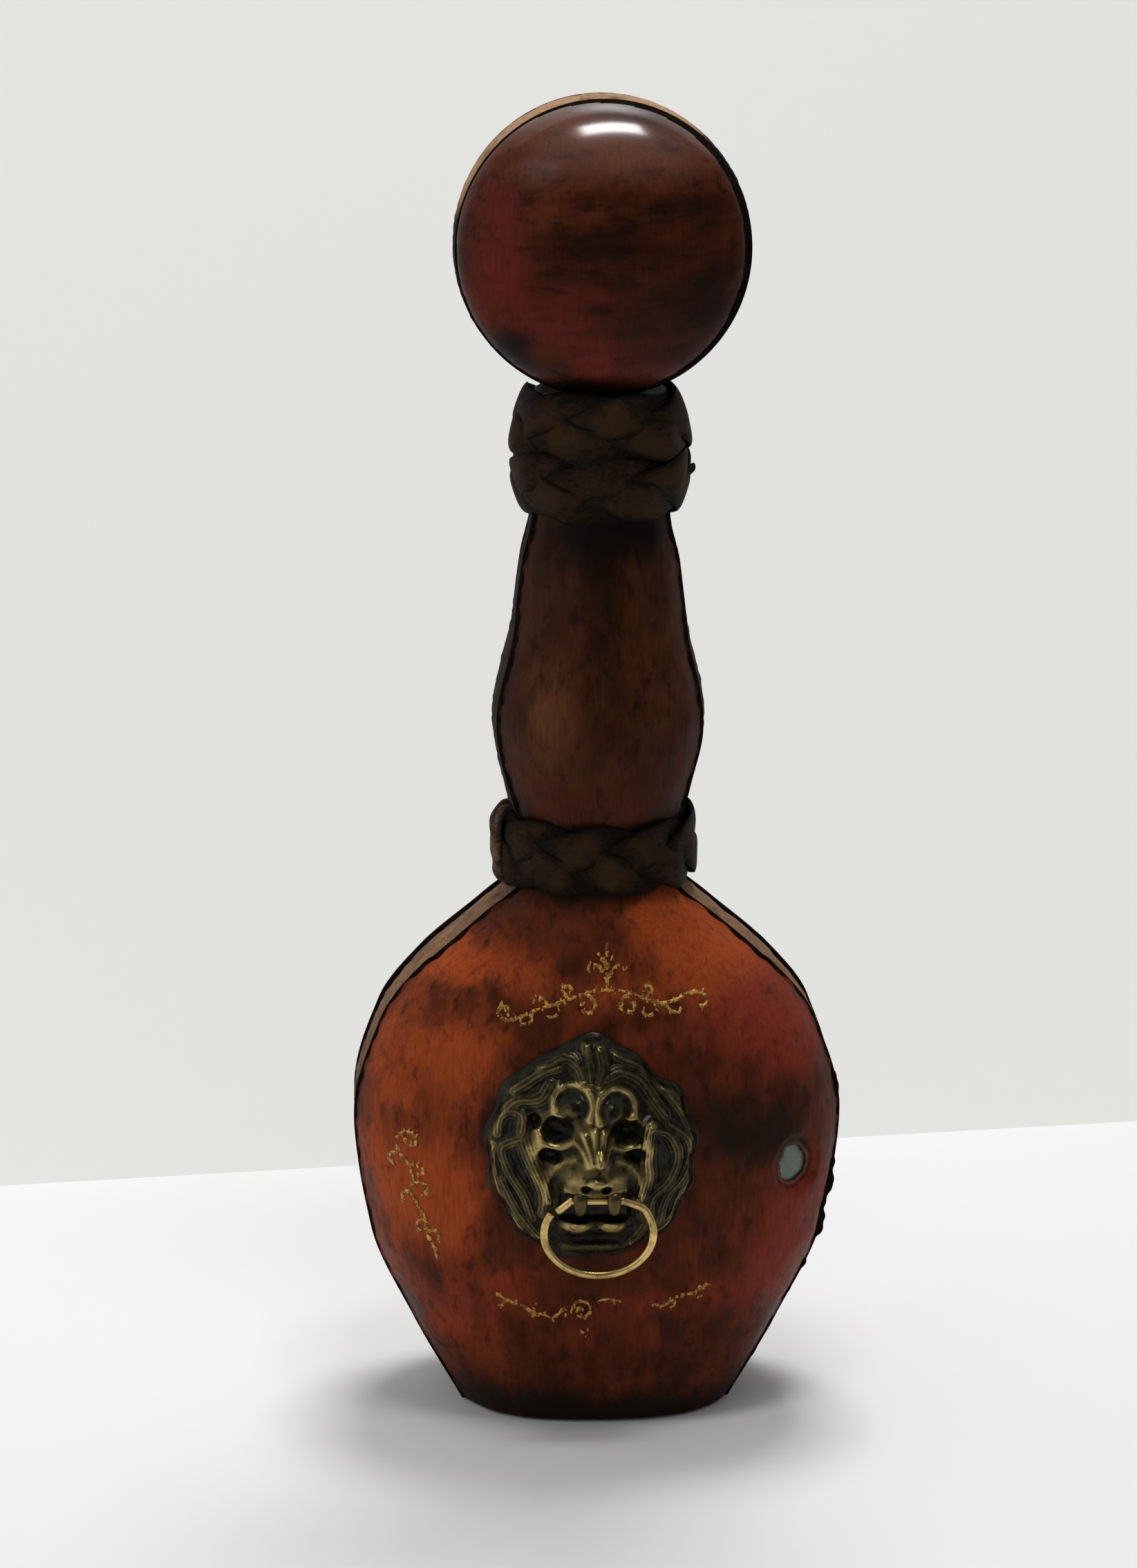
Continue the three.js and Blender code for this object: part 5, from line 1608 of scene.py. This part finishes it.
def lion_mask():
    reach_u, reach_v = MASK_HALF_WIDTH + 2, MASK_HALF_HEIGHT + 2
    u, v = np.meshgrid(np.arange(-reach_u, reach_u, MASK_GRID_STEP),
                       np.arange(-reach_v, reach_v, MASK_GRID_STEP))
    relief_grid, polish_grid = mask_relief(u, v)
    angle = full_turn(MASK_SPOKES)[None, :]
    share = (np.arange(MASK_RINGS) / (MASK_RINGS - 1))[:, None] ** 0.8
    reach = mask_reach(angle) * share
    u, v = reach * np.cos(angle), reach * np.sin(angle)
    relief = sampled(relief_grid, u, v, -reach_u, -reach_v)
    polish = sampled(polish_grid, u, v, -reach_u, -reach_v)
    face = on_front(MASK_X + u, MASK_Z + v, relief)
    back_share = np.linspace(1, 0, MASK_BACK_RINGS)[:, None]
    back_u = mask_reach(angle) * back_share * np.cos(angle)
    back_v = mask_reach(angle) * back_share * np.sin(angle)
    back = on_front(MASK_X + back_u, MASK_Z + back_v, GAP)
    points = np.concatenate([face.reshape(-1, 3), back.reshape(-1, 3)])
    faces = quads(MASK_RINGS + MASK_BACK_RINGS, MASK_SPOKES, wrap_columns=True)
    shine = np.concatenate([polish.ravel(), np.zeros(back.shape[0] * back.shape[1])])
    return add_piece("lion_mask_cast", points, faces, brass, "bottle", "dark_brass", ("lion_mask",),
                     {"polish": shine})


lion_mask()

# Fangs, each with a hole for the ring's bar

bar_y = -float(front_depth(MASK_X, BAR_Z)) - BAR_STAND_OFF
FANG_OFFSETS = (-3.6, 4.5)
FANG_WIDTH = 3.3
FANG_HALF_DEPTH = 2.4
FANG_ABOVE_BAR = 2.6
FANG_BELOW_BAR = 3.6
FANG_HOLE = 1.25
FANG_ENDS = (0.78, 0.95, 1, 1, 1, 0.95, 0.78)
FANG_SIDES = 48
FANG_SQUARENESS = 0.75
FANG_TAPER = 0.3
FANG_HOLE_WIDTH = 0.96
FANG_POLISH = 0.45


def fang(name, offset):
    turn = full_turn(FANG_SIDES)
    c, s = np.cos(turn), np.sin(turn)
    depth = FANG_HALF_DEPTH * signed_power(c, FANG_SQUARENESS)
    height = np.where(s > 0, FANG_ABOVE_BAR, FANG_BELOW_BAR) * signed_power(s, FANG_SQUARENESS)
    taper = 1 - FANG_TAPER * np.clip(-height / FANG_BELOW_BAR, 0, 1)
    rings = []
    for place, size in zip(np.linspace(-0.5, 0.5, len(FANG_ENDS)), FANG_ENDS):
        rings.append(np.stack([place * FANG_WIDTH * taper, depth * size, height * size], -1))
    for place in (0.5, -0.5):
        hole_x = np.full(FANG_SIDES, place * FANG_WIDTH * FANG_HOLE_WIDTH)
        rings.append(np.stack([hole_x, FANG_HOLE * c, FANG_HOLE * s], -1))
    points = np.array(rings) + (MASK_X + offset, bar_y, BAR_Z)
    return add_piece(name, points, torus_faces(len(rings), FANG_SIDES), brass, "bottle", "dark_brass",
                     fields={"polish": np.full(points.shape[:2], FANG_POLISH)})


for word, offset in zip(("left", "right"), FANG_OFFSETS):
    fang(f"lion_mask_{word}_fang", offset)


# Pull ring

WIRE_RADIUS = 1
BAR_OVERHANG = 0.6
STUB_LENGTH = 3.4
STUB_DROP = 2.8
BOW_FROM_MASK = 0.9
BOW_HALF_WIDTH = 13.1
BOW_HALF_HEIGHT = 10.5
BOW_DROP = 8.2
BOW_START = 38
BOW_END = -210
BOW_POINTS = 19
WIRE_SIDES = 24
WIRE_END = 0.72


def tube(path, radius, sides):
    """Points and faces of a round wire along a path in a plane that faces -Y, drawn in at its ends."""
    across = np.array([0.0, 1.0, 0.0])
    other = np.cross(unit(np.gradient(path, axis=0)), across)
    turn = full_turn(sides)[None, :, None]
    size = np.full((len(path), 1, 1), float(radius))
    size[[0, -1]] *= WIRE_END
    rings = path[:, None, :] + size * (np.cos(turn) * across + np.sin(turn) * other[:, None, :])
    return rings.reshape(-1, 3), capped_tube(len(path), sides)


def pull_ring():
    left = MASK_X + FANG_OFFSETS[0] - FANG_WIDTH / 2
    right = MASK_X + FANG_OFFSETS[1] + FANG_WIDTH / 2
    bar = [left - BAR_OVERHANG, left, (left + right) / 2, right, right + BAR_OVERHANG]
    route = [(bar[0] - STUB_LENGTH, BAR_Z - STUB_DROP)] + [(x, BAR_Z) for x in bar]
    for degrees in np.linspace(BOW_START, BOW_END, BOW_POINTS):
        turn = math.radians(degrees)
        route.append((MASK_X + BOW_FROM_MASK + BOW_HALF_WIDTH * math.cos(turn),
                      BAR_Z - BOW_DROP + BOW_HALF_HEIGHT * math.sin(turn)))
    flat = smooth_path(route, 10)
    path = np.stack([flat[:, 0], np.full(len(flat), bar_y), flat[:, 1]], -1)
    points, faces = tube(path, WIRE_RADIUS, WIRE_SIDES)
    return add_piece("pull_ring_wire", points, faces, ring_brass, "ring", "bright_brass", ("pull_ring",))


pull_ring()


# Stage, camera and light

CAMERA_PLACE = Vector((-54.953, -1048.561, 408.0))
CAMERA_AIM = Vector((-7.116, 0, 155.434))
CAMERA_ROLL = math.radians(0.382)
FOCAL_PIXELS = 6376.73
IMAGE_HEIGHT = 2268
SENSOR = 36
WALL_DISTANCE = 180
WALL_TURN = math.radians(8.8)
STAGE_REACH = 3000
FLOOR_TONE = (0.86, 0.86, 0.86)
WALL_TONE = (0.95, 0.95, 0.935)
WALL_SHOWN_AT = (0.82, 0.82, 0.79)
WALL_SHOWN_SHARE = 0.75
WORLD_TONE = (0.97, 0.985, 1)
WORLD_STRENGTH = 0.25
# Lamps: place, aim, width and height, and power
LAMPS = {
    "key": ((40, -185, 702), (0, -20, 300), (230, 100), 0.95),
    "back": ((120, 480, 1450), (0, 0, 60), (500, 350), 12),
    "fill": ((-900, -520, 480), (0, 0, 120), (1400, 1100), 2.9),
}


def add_camera():
    look = (CAMERA_AIM - CAMERA_PLACE).normalized()
    right = look.cross(Vector((0, 0, 1))).normalized()
    up = right.cross(look)
    rolled_right = right * math.cos(CAMERA_ROLL) + up * math.sin(CAMERA_ROLL)
    rolled_up = up * math.cos(CAMERA_ROLL) - right * math.sin(CAMERA_ROLL)
    data = bpy.data.cameras.new("camera")
    data.sensor_width = SENSOR
    data.lens = FOCAL_PIXELS / IMAGE_HEIGHT * SENSOR
    camera = bpy.data.objects.new("camera", data)
    camera.matrix_world = Matrix.Translation(CAMERA_PLACE * MM) @ Matrix(
        (rolled_right, rolled_up, -look)).transposed().to_4x4()
    bpy.context.scene.collection.objects.link(camera)
    bpy.context.scene.camera = camera


def stage_sheet(name, corners, material, passes_light=False):
    mesh = bpy.data.meshes.new(name)
    mesh.from_pydata([Vector(c) * MM for c in corners], [], [list(range(len(corners)))])
    made = bpy.data.objects.new(name, mesh)
    made.data.materials.append(material)
    made.rotation_euler.z = WALL_TURN
    made.visible_shadow = not passes_light
    bpy.context.scene.collection.objects.link(made)


def shown_at(look, tone, share):
    """Gives a backdrop its pale tone for the rays that show it, and leaves the light on the object alone."""
    path = look.tree.nodes.new("ShaderNodeLightPath")
    seen = path.outputs["Is Camera Ray"]
    for ray in ("Is Glossy Ray", "Is Transmission Ray"):
        seen = look.maths("MAXIMUM", seen, path.outputs[ray])
    pale = look.tree.nodes.new("ShaderNodeEmission")
    pale.inputs["Color"].default_value = (*tone, 1)
    return look.join(look.maths("MULTIPLY", seen, share), look.shader, pale)


def stage_finish(name, tone, one_sided):
    look = Look(name)
    marks = look.noise(look.place(), 160.0, 4.0, 0.5)
    colour = look.mix(marks, [c * 0.985 for c in tone], tone)
    look.finish(Base_Color=colour, Roughness=0.9, Specular_IOR_Level=0.1)
    if one_sided:
        facing = look.tree.nodes.new("ShaderNodeNewGeometry")
        clear = look.tree.nodes.new("ShaderNodeBsdfTransparent")
        front = shown_at(look, WALL_SHOWN_AT, WALL_SHOWN_SHARE)
        either = look.join(facing.outputs["Backfacing"], front, clear)
        look.tree.links.new(either.outputs[0], look.tree.nodes["Material Output"].inputs["Surface"])
    return look.material


def add_area(name, place, aim, size, power):
    data = bpy.data.lights.new(name, "AREA")
    data.shape = "RECTANGLE"
    data.size, data.size_y = [s * MM for s in size]
    data.energy = power
    lamp = bpy.data.objects.new(name, data)
    lamp.location = Vector(place) * MM
    lamp.visible_camera = False
    lamp.rotation_euler = (Vector(aim) - Vector(place)).to_track_quat("-Z", "Y").to_euler()
    bpy.context.scene.collection.objects.link(lamp)


def add_world():
    world = bpy.data.worlds.new("studio")
    world.use_nodes = True
    bpy.context.scene.world = world
    back = world.node_tree.nodes["Background"]
    back.inputs["Color"].default_value = (*WORLD_TONE, 1)
    back.inputs["Strength"].default_value = WORLD_STRENGTH


add_camera()
floor = [(-STAGE_REACH, -STAGE_REACH, 0), (STAGE_REACH, -STAGE_REACH, 0), (STAGE_REACH, STAGE_REACH, 0),
         (-STAGE_REACH, STAGE_REACH, 0)]
wall = [(-STAGE_REACH, WALL_DISTANCE, 0), (STAGE_REACH, WALL_DISTANCE, 0),
        (STAGE_REACH, WALL_DISTANCE, STAGE_REACH), (-STAGE_REACH, WALL_DISTANCE, STAGE_REACH)]
stage_sheet("floor", floor, stage_finish("floor", FLOOR_TONE, False))
stage_sheet("wall", wall, stage_finish("wall", WALL_TONE, True), passes_light=True)
for name, setting in LAMPS.items():
    add_area(name, *setting)
add_world()

bpy.context.scene.view_settings.view_transform = "Standard"
